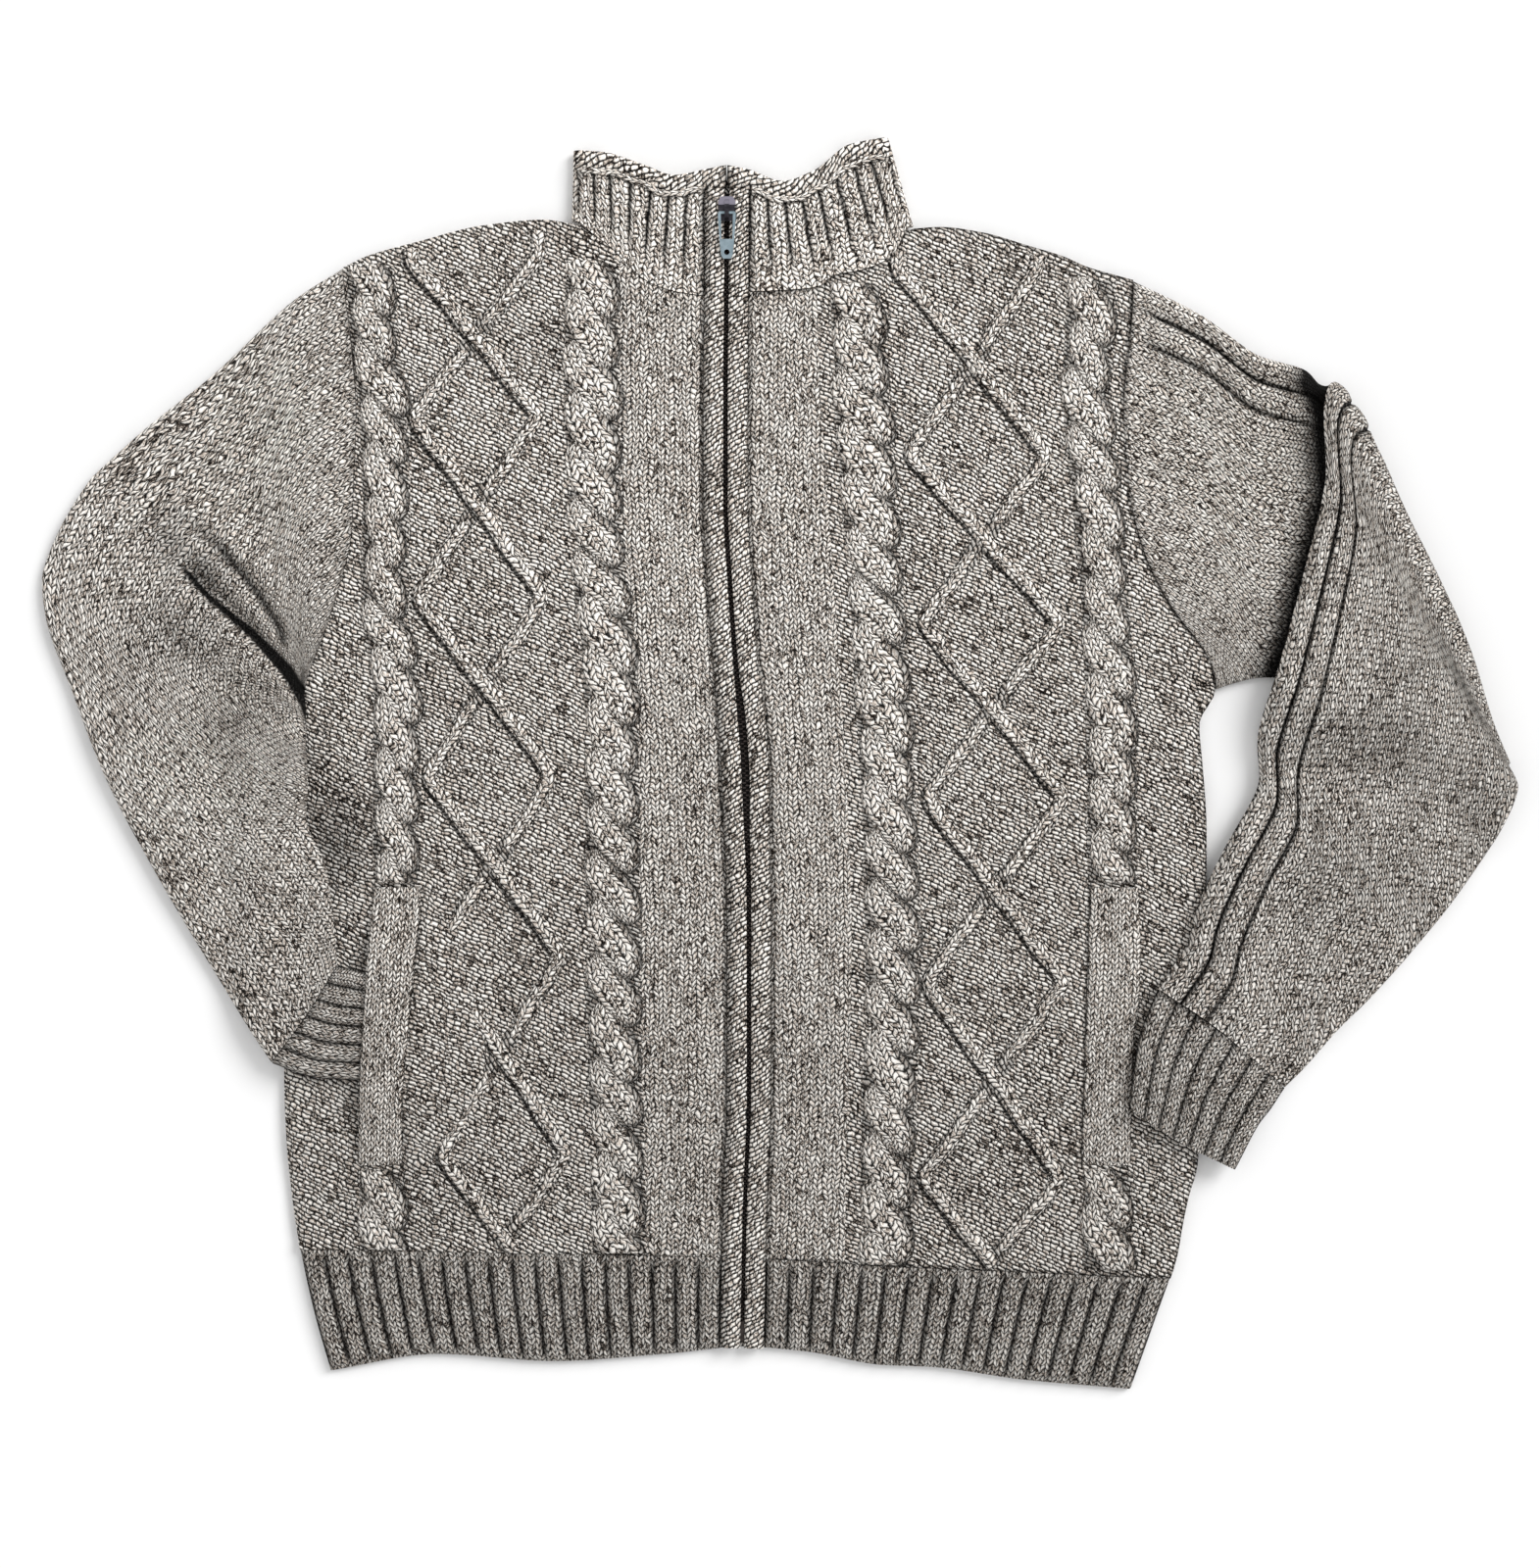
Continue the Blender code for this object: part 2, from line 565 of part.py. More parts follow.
def make_pocket(side, knit, thin):
    toward_zip = 1 if side == "left" else -1
    top_rows = []
    low_rows = []
    for y in line_down(POCKET_SEAM[side], POCKET_TOP, POCKET_FOOT, 20)[:, 1]:
        place = float(np.clip(y, POCKET_FOOT + SEAM, POCKET_TOP - SEAM))
        start = along(POCKET_SEAM[side], place) - toward_zip * SEAM
        end = along(POCKET_MOUTH[side], place)
        over_side = abs(start - end) - WELT_LAP - 4
        up = smooth_step(-84, -121, place) * smooth_step(-232, -190, place) if side == "left" else 0.0
        rows = ([], [])
        for share, drop in ((0.0, 0.5), (0.2, 0), (0.4, 0), (0.6, 0), (0.8, 0), (0.9, 0.1), (1.0, 0.8)):
            x = start + share * (end - start)
            z = FRONT_LOW + LINING + SEAM + 9.0 * up
            z += (FRONT_HIGH - FRONT_LOW - LINING) * smooth_step(0, over_side, share * abs(start - end))
            rows[0].append((x, place, z + WELT - drop))
            rows[1].append((x, place, z))
        top_rows.append(rows[0])
        low_rows.append(rows[1])
    grid_wall(f"pocket_welt_{side}", top_rows, low_rows, False, knit)
    inner = line_down(POCKET_SEAM[side], POCKET_FOOT - 7, POCKET_TOP + 1, 40, toward_zip * POCKET_DEPTH)
    outer = line_down(POCKET_MOUTH[side], POCKET_TOP + 1, POCKET_FOOT - 7, 40, -toward_zip * 12)
    panel(f"pocket_lining_{side}", [joined(inner, outer)], [], lambda x, y: FRONT_LOW + LINING + 0 * x,
          lambda x, y: FRONT_LOW + 0 * x, thin, edge_drop=0.0)


def collar_places(side, shares):
    """Neck and rim seam points at shares of the way from the zip to the fold."""
    neck = smooth_path(FRONT_NECK[side][::-1], 2)
    length = np.concatenate([[0], np.cumsum(np.hypot(*np.diff(neck, axis=0).T))])
    at = (0.005 + 0.985 * shares) * length[-1]
    seam = [np.interp(at, length, neck[:, 0]),
            np.interp(at, length, neck[:, 1]) + 2 * SEAM + 2.2 * smooth_step(0.85, 1, shares)]
    return np.stack(seam + [along([(row[0], row[k]) for row in COLLAR[side]], shares) for k in (1, 2)], axis=1)


def collar_stations(rise):
    """Stations round the neck from the left zip edge to the right one.
    Each has the neck point, the rim point, the height of both faces, and how far round the fold it is."""
    stations = []
    outside = COLLAR_INSIDE + CLOTH
    for side in ("left", "right"):
        part = []
        ribs = COLLAR_RIBS[side]
        shares = [0.0]
        raised = [0.0]
        for rib in range(ribs):
            for place, high in ((0.2, 1.0), (0.8, 1.0), (1.0, 0.0)):
                shares.append(0.97 * (rib + place) / ribs)
                raised.append(high)
        places = collar_places(side, np.array(shares))
        for place, high in zip(places, raised):
            part.append((place, outside + rise * high, COLLAR_INSIDE, 0.0))
        sign = -1 if side == "left" else 1
        for step in (1, 2, 3):
            angle = step * pi / 4
            reach = outside / 2 * sin(angle)
            inner_reach = (outside / 2 - CLOTH) * sin(angle)
            edge = collar_places(side, np.array([1.0]))[0]
            part.append((edge, outside / 2 * (1 + cos(angle)), outside / 2 + (outside / 2 - CLOTH) * cos(angle),
                         (sign * reach, sign * inner_reach)))
        stations.append(part)
    left, right = stations
    across = []
    left_edge = collar_places("left", np.array([1.0]))[0]
    right_edge = collar_places("right", np.array([1.0]))[0]
    for share in (0.0, 0.2, 0.4, 0.6, 0.8, 1.0):
        x = left_edge[0] + share * (right_edge[0] - left_edge[0])
        rim_x = left_edge[2] + share * (right_edge[2] - left_edge[2])
        front = [(row[1], row[2]) for side in ("left", "right") for row in COLLAR[side] if 0 < row[0]]
        neck_y = along(BACK_NECK, x) + 2 * SEAM
        across.append((np.array((x, neck_y, rim_x, along(front, rim_x))), 0.0, CLOTH, 0.0))
    return left + across + right[::-1]


def ring_points(place, height, reach, levels, bulge):
    """One station's points from neck to rim, at shares of the way up."""
    neck = place[:2]
    rim = place[2:]
    shift = np.array((reach, 0.0))
    return [(*(neck + (rim - neck) * level + shift), height + bulge * extra) for level, extra in levels]


def make_collar(material):
    outer = []
    inner = []
    for place, high, low, reach in collar_stations(COLLAR_RIB_HEIGHT):
        out_reach, in_reach = reach if isinstance(reach, tuple) else (0.0, 0.0)
        levels = ((0.0, 0), (0.3, 0), (0.65, 0), (1.0, 0))
        outer.append(ring_points(place, high, out_reach, levels, 0))
        inner.append(ring_points(place, low, in_reach, levels, 0))
    grid_wall("collar", outer, inner, False, material)


def make_rim(material):
    """The rolled edge on top of the collar. It meets itself over the end of the zip."""
    outer = []
    inner = []
    stations = collar_stations(0.0)
    for index, (place, high, low, reach) in enumerate(stations):
        out_reach, in_reach = reach if isinstance(reach, tuple) else (0.0, 0.0)
        base = place[2:]
        lean = (place[2:] - place[:2]) / np.linalg.norm(place[2:] - place[:2])
        start = base + lean * (SEAM + 0.1)
        end = base + lean * RIM_HEIGHT
        row = np.concatenate([start, end])
        on_top = high > COLLAR_INSIDE
        bulge = RIM_BULGE if on_top else 0.0
        levels = ((0.0, 0), (0.22, 0.75), (0.5, 1), (0.78, 0.75), (1.0, -0.2 if on_top else 0))
        outer.append(ring_points(row, high, out_reach, levels, bulge))
        inner.append(ring_points(row, low, in_reach, levels, 0))
    for at, (inward, zip_x) in ((0, (1, -31.7)), (len(stations) - 1, (-1, -28.3))):
        side_rows = []
        for share in (0.55, 1.0):
            x = outer[at][0][0] + share * (zip_x - outer[at][0][0])
            levels = ((341.0, 0.0), (343.5, 4.2), (347.5, 5.4), (351.5, 4.4), (354.0, 1.0))
            high = [(x, y, COLLAR_INSIDE + CLOTH + BAND_ROOM + extra) for y, extra in levels]
            low = [(x, y, COLLAR_INSIDE) for y, _ in levels]
            side_rows.append((high, low))
        for high, low in side_rows:
            if at == 0:
                outer.insert(0, high)
                inner.insert(0, low)
            else:
                outer.append(high)
                inner.append(low)
    grid_wall("collar_rim", outer, inner, False, material)


BAND_ROOM = 0.0


def make_zip(knit, tape, metal, plate):
    places = zip_places(BAND_TOP, HEM_AT_ZIP)
    for side, sign in (("left", -1), ("right", 1)):
        def band(y, sign=sign):
            edge = along(SLIT_HALF, y)
            shape = ((0.0, 7.2), (0.2, 8.6), (2.0, 9.5), (5.5, 9.9), (9.3, 9.3), (BAND_WIDTH, 7.4),
                     (BAND_WIDTH, 4.9), (2.0, 4.9), (1.8, 7.2))
            return [(sign * (edge + dx), z) for dx, z in shape]

        def strip(y, sign=sign):
            return [(sign * 0.15, 3.8), (sign * 12, 3.8), (sign * 12, 4.6), (sign * 0.15, 4.6)]

        sweep(f"zip_band_{side}", places, ZIP_LINE, band, knit)
        sweep(f"zip_tape_{side}", zip_places(BAND_TOP - 2, HEM_AT_ZIP + 3), ZIP_LINE, strip, tape)

    def chain(y):
        return [(-2.8, 4.9), (2.8, 4.9), (2.8, 6.9), (-2.8, 6.9)]

    sweep("zip_chain", zip_places(321, HEM_AT_ZIP + 16), ZIP_LINE, chain, metal)
    sweep("zip_box", (HEM_AT_ZIP + 15.5, HEM_AT_ZIP + 4), ZIP_LINE,
          lambda y: [(-2.9, 4.9), (2.9, 4.9), (2.9, 6.9), (-2.9, 6.9)], metal)
    make_slider(metal)
    make_pull(plate)


def prism(outline, low, high, axis):
    """A solid of this outline. Axis x turns the outline's first value into Y and its second into Z."""
    shape = bmesh.new()
    ends = []
    for end in (low, high):
        if axis == "x":
            points = [(end, a, b) for a, b in outline]
        else:
            points = [(a, b, end) for a, b in outline]
        ends.append([shape.verts.new(Vector(point) * MM) for point in points])
    count = len(outline)
    for k in range(count):
        shape.faces.new((ends[0][k], ends[0][(k + 1) % count], ends[1][(k + 1) % count], ends[1][k]))
    shape.faces.new(ends[0])
    shape.faces.new(ends[1])
    bmesh.ops.recalc_face_normals(shape, faces=shape.faces)
    return shape


def make_slider(metal):
    """The slider's top plate with its bail, and the post that goes down between the bands."""
    middle = float(along(ZIP_LINE, HINGE_Y))
    plate = [(middle + dx, y) for dx, y in ((-3.6, 335), (3.6, 335), (5.2, 332), (4.6, 325), (5.3, 321.5),
                                            (3.4, 320.5), (-3.4, 320.5), (-5.3, 321.5), (-4.6, 325), (-5.2, 332))]
    slider = new_object("zip_slider", prism(plate, 10.2, 11.1, "z"), metal)
    post = new_object("slider_post", prism([(middle - 0.9, 322.6), (middle + 0.9, 322.6), (middle + 0.9, 333),
                                            (middle - 0.9, 333)], 4.9, 10.7, "z"), metal)
    low = HINGE_Z + 1.1
    bail_side = [(321.0, 10.7), (321.0, 12.2), (322.2, low + 0.7), (324.5, low + 1.2), (329.0, low + 1.0),
                 (332.6, 12.0), (333.4, 10.7), (331.4, 10.7), (330.8, 11.9), (328.4, low),
                 (324.4, low), (322.9, 12.2), (322.5, 10.7)]
    bail = new_object("slider_bail", prism(bail_side, middle - 1.3, middle + 1.3, "x"), metal)
    for extra in (post, bail):
        PARTS.objects.unlink(extra)
        CUTTERS.objects.link(extra)
        extra.hide_render = True
        extra.display_type = "WIRE"
        union = slider.modifiers.new(extra.name, "BOOLEAN")
        union.operation = "UNION"
        union.object = extra


def make_pull(plate_metal):
    """The pull tab: a frame round a window, a solid plate and a small hole. It hangs on the bail."""
    outline = np.array([(-4.6, 0.7), (4.6, 0.7), (5.3, -0.4), (5.2, -4), (4.2, -18), (3.4, -25), (2.2, -27),
                        (-2.2, -27), (-3.4, -25), (-4.2, -18), (-5.2, -4), (-5.3, -0.4)])
    window = np.array([(-3.6, -0.7), (-3.3, -15.5), (3.3, -15.5), (3.6, -0.7)])
    hole = np.array([(1.7 * cos(k * pi / 4), -23.2 + 1.7 * sin(k * pi / 4)) for k in range(8)])
    flat, upper = triangulate([outline[::-1], window, hole], (), ())
    middle = float(along(ZIP_LINE, HINGE_Y))
    shape = bmesh.new()
    sides = [[shape.verts.new((x * MM, y * MM, z * MM)) for x, y in flat] for z in (0.6, -0.6)]
    for tri in upper:
        shape.faces.new([sides[0][i] for i in tri])
        shape.faces.new([sides[1][i] for i in reversed(tri)])
    for loop in boundary_loops(upper):
        for a, b in zip(loop, loop[1:] + loop[:1]):
            shape.faces.new((sides[0][b], sides[0][a], sides[1][a], sides[1][b]))
    hinge = bpy.data.objects.new("pull_hinge", None)
    hinge.location = (middle * MM, HINGE_Y * MM, HINGE_Z * MM)
    hinge.rotation_euler = (radians(PULL_TILT), 0, 0)
    PARTS.objects.link(hinge)
    pull = new_object("zip_pull", shape, plate_metal)
    pull.parent = hinge


def station_points(path, steps=40):
    """A dense path through a station's points, for reading places on it by length."""
    return smooth_path(path, max(1.0, np.linalg.norm(np.diff(path, axis=0), axis=1).sum() / steps))


def on_path(path, at):
    length = np.concatenate([[0], np.cumsum(np.hypot(*np.diff(path, axis=0).T))])
    return np.array([np.interp(at, length, path[:, 0]), np.interp(at, length, path[:, 1])]).T, length[-1]


def flat_ring(path, height, pleat, top_profile, low_profile):
    """A flattened tube's section: plan places and heights of the outer face, and of the hollow in it.
    The profiles are rows of kind, place and rise. Kind 0 counts from the outer edge and kind 2 from
    the inner one, in millimetres. Kind 1 is a share of the width."""
    _, width = on_path(path, 0.0)
    outer = []
    hollow = []
    spare = max(0.2, height / 2 - CLOTH)
    for rows, upward in ((top_profile, 1), (low_profile, -1)):
        for kind, value, level, rise in rows:
            at = value if kind == 0 else width - value if kind == 2 else value * width
            point, _ = on_path(path, at)
            share = at / width
            fold = pleat * smooth_step(0.25, 0.6, share) * (1 - smooth_step(width - 9, width - 1, at))
            z = height / 2 + upward * level * height / 2 + rise + (fold * level if upward > 0 else 0)
            outer.append((*point, z))
            inside, _ = on_path(path, CLOTH + at * (width - 2 * CLOTH) / width)
            hollow.append((*inside, height / 2 + upward * level * spare))
    return outer, hollow


EDGE_IN = ((0, 0, 0, 0), (0, 1.2, 0.7, 0), (0, 5, 1, 0))
EDGE_OUT = ((2, 5, 1, 0), (2, 1.2, 0.7, 0), (2, 0, 0, 0))
PLAIN_TOP = EDGE_IN + tuple((1, share, 1, 0) for share in (0.12, 0.25, 0.38, 0.5, 0.62, 0.74, 0.86)) + EDGE_OUT
PLAIN_LOW = ((2, 2.2, 1, 0), (1, 0.75, 1, 0), (1, 0.5, 1, 0), (1, 0.25, 1, 0), (0, 2.2, 1, 0))


def make_left_sleeve(knit):
    armhole = line_down(SIDE_EDGE["left"], SHOULDER["left"][0][1] - 0.5, ARMPIT_Y["left"], 12, -ARMHOLE_SEAM)
    paths = [(station_points(armhole), 7.6, 0)]
    for row in LEFT_SLEEVE:
        paths.append((station_points(np.array(row[:6], float).reshape(3, 2)), row[6], row[7]))
    outer = []
    inner = []
    for path, height, pleat in paths:
        ring, hollow = flat_ring(path, height, pleat, PLAIN_TOP, PLAIN_LOW)
        outer.append([(x, y, z + left_support(x, y)) for x, y, z in ring])
        inner.append([(x, y, z + left_support(x, y)) for x, y, z in hollow])
    grid_wall("sleeve_left", outer, inner, True, knit)


def left_support(x, y):
    """How high the left sleeve lies: on the floor, then on the body's side, then in the pocket."""
    on_body = smooth_step(-332, -308, x) * smooth_step(26, 6, y)
    in_pocket = smooth_step(-235, -226, x)
    return float((FRONT_HIGH + SEAM) * on_body - 2.7 * in_pocket)


def right_support(x, y):
    """How high the forearm's underside lies: on the upper arm, the floor, the body's side or the pocket."""
    along_edge = np.interp(x, (290, 349, 423), (51, 42.5, 17))
    on_arm = (2 * FOLD_HEIGHT - 7.6) * smooth_step(-52, -2, y - along_edge)
    on_body = (FRONT_HIGH + SEAM) * smooth_step(300, 270, x) + 3.2 * smooth_step(236, 222, x)
    return float(max(on_arm, on_body * smooth_step(10, -10, y)))


FOLD_START = np.array(FOLD_TOP)
FOLD_RUN = (np.array(FOLD_FOOT) - FOLD_START) / np.linalg.norm(np.array(FOLD_FOOT) - FOLD_START)
FOLD_OUT = np.array((-FOLD_RUN[1], FOLD_RUN[0]))


def unfold(point):
    """Where a point of the forearm is in the sleeve before the fold."""
    run = (point - FOLD_START) @ FOLD_RUN
    out = (point - FOLD_START) @ FOLD_OUT
    return FOLD_START + run * FOLD_RUN + (FOLD_ARC - out) * FOLD_OUT


def fold(point, z, height):
    """Takes a point of the unfolded sleeve round the fold at the elbow."""
    run = (point - FOLD_START) @ FOLD_RUN
    out = (point - FOLD_START) @ FOLD_OUT
    if out <= 0:
        return (*point, z)
    radius = FOLD_HEIGHT - z
    if out < FOLD_ARC:
        angle = out / FOLD_ARC * pi
        x, y = FOLD_START + run * FOLD_RUN + radius * sin(angle) * FOLD_OUT
        return (x, y, FOLD_HEIGHT - radius * cos(angle))
    x, y = FOLD_START + run * FOLD_RUN - (out - FOLD_ARC) * FOLD_OUT
    lying = 2 * FOLD_HEIGHT - height
    drop = (lying - right_support(x, y)) * smooth_step(FOLD_ARC, FOLD_ARC + 25, out)
    return (x, y, 2 * FOLD_HEIGHT - z - drop)


def strip_profile(raise_by, kind_rows):
    return tuple((0, place, 1, rise * raise_by) for place, rise in kind_rows)


def make_right_sleeve(knit):
    armhole = line_down(SIDE_EDGE["right"], SHOULDER["right"][0][1] - 0.5, ARMPIT_Y["right"], 12, ARMHOLE_SEAM)
    paths = [(station_points(armhole), 7.6, 0)]
    for row in RIGHT_UPPER_ARM:
        paths.append((station_points(np.array(row[:6], float).reshape(3, 2)), row[6], 0))
    for step in range(FOLD_STEPS + 1):
        shift = FOLD_OUT * FOLD_ARC * step / FOLD_STEPS
        ends = np.array([FOLD_TOP + shift, FOLD_FOOT + shift])
        paths.append((station_points(ends), 7.6, step / FOLD_STEPS))
    for row in FOREARM:
        points = np.array([unfold(np.array(pair)) for pair in np.array(row[:6], float).reshape(3, 2)])
        paths.append((station_points(points), row[6], 1))
    outer = []
    inner = []
    for path, height, turned in paths:
        rise = smooth_step(0, 1, len(outer) / 2) * (1 - turned)
        top = EDGE_IN[:2] + strip_profile(rise, STRIP) + tuple((1, s, 1, 0) for s in (0.35, 0.5, 0.65, 0.8, 0.92)) \
            + EDGE_OUT
        low = ((2, 2.2, 1, 0),) + tuple((1, s, 1, 0) for s in (0.93, 0.86, 0.79, 0.7, 0.6, 0.45)) \
            + strip_profile(-turned, STRIP[::-1]) + ((0, 2.2, 1, 0),)
        ring, hollow = flat_ring(path, height, 0, top, low)
        outer.append([fold(np.array((x, y)), z, height) for x, y, z in ring])
        inner.append([fold(np.array((x, y)), z, height) for x, y, z in hollow])
    grid_wall("sleeve_right", outer, inner, True, knit)


def make_cuff(side, rows, support, knit):
    ribs = CUFF_RIBS[side]
    top = [(0, 0, 0, 0), (0, 1.2, 0.7, 0)]
    for rib in range(ribs):
        for place, rise in ((0.22, 1.2), (0.78, 1.2), (1.0, -0.2)):
            share = (rib + place) / ribs
            if share < 0.98:
                top.append((1, 0.03 + 0.94 * share, 1, rise))
    top += [(2, 1.2, 0.7, 0), (2, 0, 0, 0)]
    outer = []
    inner = []
    for row in rows:
        path = station_points(np.array(row[:6], float).reshape(3, 2))
        ring, hollow = flat_ring(path, row[6], 0, top, PLAIN_LOW)
        outer.append([(x, y, z + support(x, y)) for x, y, z in ring])
        inner.append([(x, y, z + support(x, y)) for x, y, z in hollow])
    grid_wall(f"cuff_{side}", outer, inner, True, knit)


for old in list(bpy.data.objects):
    bpy.data.objects.remove(old)
PARTS = bpy.data.collections.new(OBJECT_NAME)
CUTTERS = bpy.data.collections.new("joined_shapes")
for group in (PARTS, CUTTERS):
    bpy.context.scene.collection.children.link(group)

wool = colour("wool_knit", (0.34, 0.31, 0.28), 0.95)
ribbing = colour("wool_rib", (0.28, 0.26, 0.23), 0.95)
jersey = colour("lining_jersey", (0.2, 0.18, 0.16), 0.9)
tape = colour("zip_tape", (0.05, 0.045, 0.05), 0.8)
dark_metal = colour("zip_metal", (0.12, 0.11, 0.13), 0.35, 1.0)
plate = colour("zip_pull_plate", (0.35, 0.45, 0.5), 0.3, 1.0)

make_back(wool)
for side in ("left", "right"):
    make_front(side, wool)
    make_hem(side, ribbing)
    make_pocket(side, wool, jersey)
make_back_hem(ribbing)
make_collar(ribbing)
make_rim(wool)
make_zip(wool, tape, dark_metal, plate)
make_left_sleeve(wool)
make_right_sleeve(wool)
make_cuff("left", LEFT_CUFF, left_support, ribbing)
make_cuff("right", RIGHT_CUFF, right_support, ribbing)
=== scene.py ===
# Looks for a cable-knit cardigan with a stand collar and a full zip, laid flat on a pale floor
import math

import bmesh
import bpy
import numpy as np
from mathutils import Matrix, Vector


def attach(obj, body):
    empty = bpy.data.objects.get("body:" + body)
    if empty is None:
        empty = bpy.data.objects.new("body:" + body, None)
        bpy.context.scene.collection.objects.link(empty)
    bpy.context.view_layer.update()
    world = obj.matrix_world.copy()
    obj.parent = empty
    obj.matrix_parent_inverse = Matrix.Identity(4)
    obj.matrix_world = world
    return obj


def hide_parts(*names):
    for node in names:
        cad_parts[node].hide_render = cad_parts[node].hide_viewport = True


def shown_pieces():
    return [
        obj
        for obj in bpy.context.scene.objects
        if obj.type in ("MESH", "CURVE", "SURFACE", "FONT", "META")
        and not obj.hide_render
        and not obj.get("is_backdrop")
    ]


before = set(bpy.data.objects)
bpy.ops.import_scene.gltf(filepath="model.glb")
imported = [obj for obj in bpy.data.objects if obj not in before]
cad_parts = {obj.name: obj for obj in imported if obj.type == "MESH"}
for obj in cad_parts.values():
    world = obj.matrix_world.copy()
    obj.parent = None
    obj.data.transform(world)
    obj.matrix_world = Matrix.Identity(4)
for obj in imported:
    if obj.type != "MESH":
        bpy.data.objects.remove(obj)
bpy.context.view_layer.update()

mm = 0.001
print("frame loaded:", len(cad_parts), "nodes")

# Tables in millimetres, the same as the solids have
zipLine = ((340, -30.0), (278, -30.5), (220, -31), (156, -31), (112, -28.7), (56, -24.7), (27, -21.5),
           (-1, -19.4), (-40, -18.3), (-80, -17.1), (-198, -17.1), (-258, -19.4), (-346, -21.2))
slitHalf = ((340, 1.4), (60, 1.4), (25, 2.4), (-5, 2.4), (-60, 1.4), (-346, 1.2))
sideEdge = {
    "left": ((294, -257.5), (286, -257), (244, -252), (206, -249.7), (170, -251), (139, -252),
             (104, -260), (75, -269.5), (43, -280.4), (0, -282.5), (-100, -288), (-186, -292.5),
             (-225, -291), (-256, -288), (-288, -283), (-325, -275), (-360, -265)),
    "right": ((286.5, 210.5), (259, 209), (209, 204.5), (160, 208), (128, 215.5), (96, 230.6), (56, 257.5),
              (44, 259.5), (23, 249.8), (0, 251.5), (-41, 254), (-180, 252), (-238, 248.5), (-256, 243.5),
              (-273, 240), (-291, 237), (-305, 232.5), (-325, 225.3), (-343, 219), (-371, 209)),
}
armpitY = {"left": 43.0, "right": 44.0}
shoulderLine = {
    "left": ((-257.5, 294), (-243, 301), (-211, 309.7), (-175, 318.4), (-139, 322), (-119, 319)),
    "right": ((210.5, 286.5), (184, 294), (168, 301), (149, 306.8), (120, 315), (97, 318), (77, 316.5)),
}
frontNeck = {
    "left": ((-119, 319), (-101, 307), (-77, 285), (-60, 279), (-43.7, 276.5)),
    "right": ((77, 316.5), (67, 300), (50, 292), (34.5, 289), (23.5, 282), (5, 280), (-17, 279)),
}
backNeck = ((-119, 319), (-80, 311), (-20, 308), (40, 310), (77, 316.5))
ribLine = ((-283, -288), (-150, -290), (-19, -293), (83, -298.7), (232.5, -305))
hemEdge = ((-265, -360), (-202, -350.3), (-132, -354.4), (-68, -350.3), (-19, -346), (16, -348.6),
           (61.8, -356.7), (90.8, -357.9), (144.7, -365.4), (209, -371))
pocketMouth = {"left": ((-58, -238), (-197, -246.8), (-245, -248.5)),
               "right": ((-60, 213), (-121, 214.5), (-172, 210.5), (-245, 208.5))}
pocketSeam = {"left": ((-60, -211.5), (-89, -212), (-197, -221.3), (-245, -223)),
              "right": ((-60, 185.5), (-245, 179.5))}
heights = {"back": 3.5, "frontLow": 3.8, "frontTop": 7.3, "seam": 0.3, "bandWidth": 11.6, "pocketTop": -73.0,
           "pocketFoot": -238.0, "weltLap": 4.0, "pocketDepth": 105.0, "thinLow": 3.85, "thinTop": 4.6}
gauge = {"wide": 5.1, "tall": 3.25}  # one stitch
toward = {"left": 1, "right": -1}  # the way along X from a side's edge to the zip


def easeStep(low, high, value):
    share = np.clip((np.asarray(value, float) - low) / (high - low), 0, 1)
    return share * share * (3 - 2 * share)


def bell(value, width):
    return np.exp(-(value / width) ** 2)


def along(rows, at):
    # a smooth curve through rows of key and value, with no swing past a row
    keys, values = np.array(sorted(rows), float).T
    secants = np.diff(values) / np.diff(keys)
    before, after = secants[:-1], secants[1:]
    sameWay = before * after > 0
    inner = np.where(sameWay, 2 * before * after / np.where(sameWay, before + after, 1), 0)
    slopes = np.concatenate([secants[:1], inner, secants[-1:]])
    place = np.clip(np.searchsorted(keys, at) - 1, 0, len(keys) - 2)
    step = keys[place + 1] - keys[place]
    t = np.clip((at - keys[place]) / step, 0, 1)
    start = (1 + 2 * t) * (1 - t) ** 2 * values[place] + t * (1 - t) ** 2 * step * slopes[place]
    return start + t * t * (3 - 2 * t) * values[place + 1] + t * t * (t - 1) * step * slopes[place + 1]


def pathLength(points):
    return np.concatenate([[0], np.cumsum(np.linalg.norm(np.diff(points, axis=0), axis=1))])


def smoothPath(points, spacing):
    points = np.array(points, float)
    length = pathLength(points)
    at = np.linspace(0, length[-1], max(2, int(round(length[-1] / spacing)) + 1))
    return np.stack([along(list(zip(length, axis)), at) for axis in points.T], axis=1)


def zipEdge(side, y):
    reach = along(slitHalf, y) + heights["bandWidth"] + heights["seam"]
    return along(zipLine, y) - toward[side] * reach


def ripple(x, y):
    # the slow waves that a laid-down knit keeps
    return (0.7 * np.sin(x / 31 + 0.6 * np.sin(y / 57)) + 0.6 * np.sin(y / 33 + x / 77)
            + 0.45 * np.sin((x + y) / 19 + 1.3) + 0.3 * np.sin((x - 1.4 * y) / 13))


def layer(x, y, z):
    # points on a grid, from values that may be the same along a row or a column
    return np.stack(np.broadcast_arrays(x, y, z), axis=-1)


def acrossPath(points):
    # unit steps square to a path, to its right as it runs
    run = np.gradient(points, axis=0)
    run /= np.linalg.norm(run, axis=1)[:, None]
    return np.stack([run[:, 1], -run[:, 0]], axis=1)


def dome(count, high, power, sink, under):
    # a ring of share across and height: over the top from left to right, then the points underneath
    turn = np.linspace(0, np.pi, count)
    return [(-math.cos(t), high * math.sin(t) ** power - sink) for t in turn] + list(under)


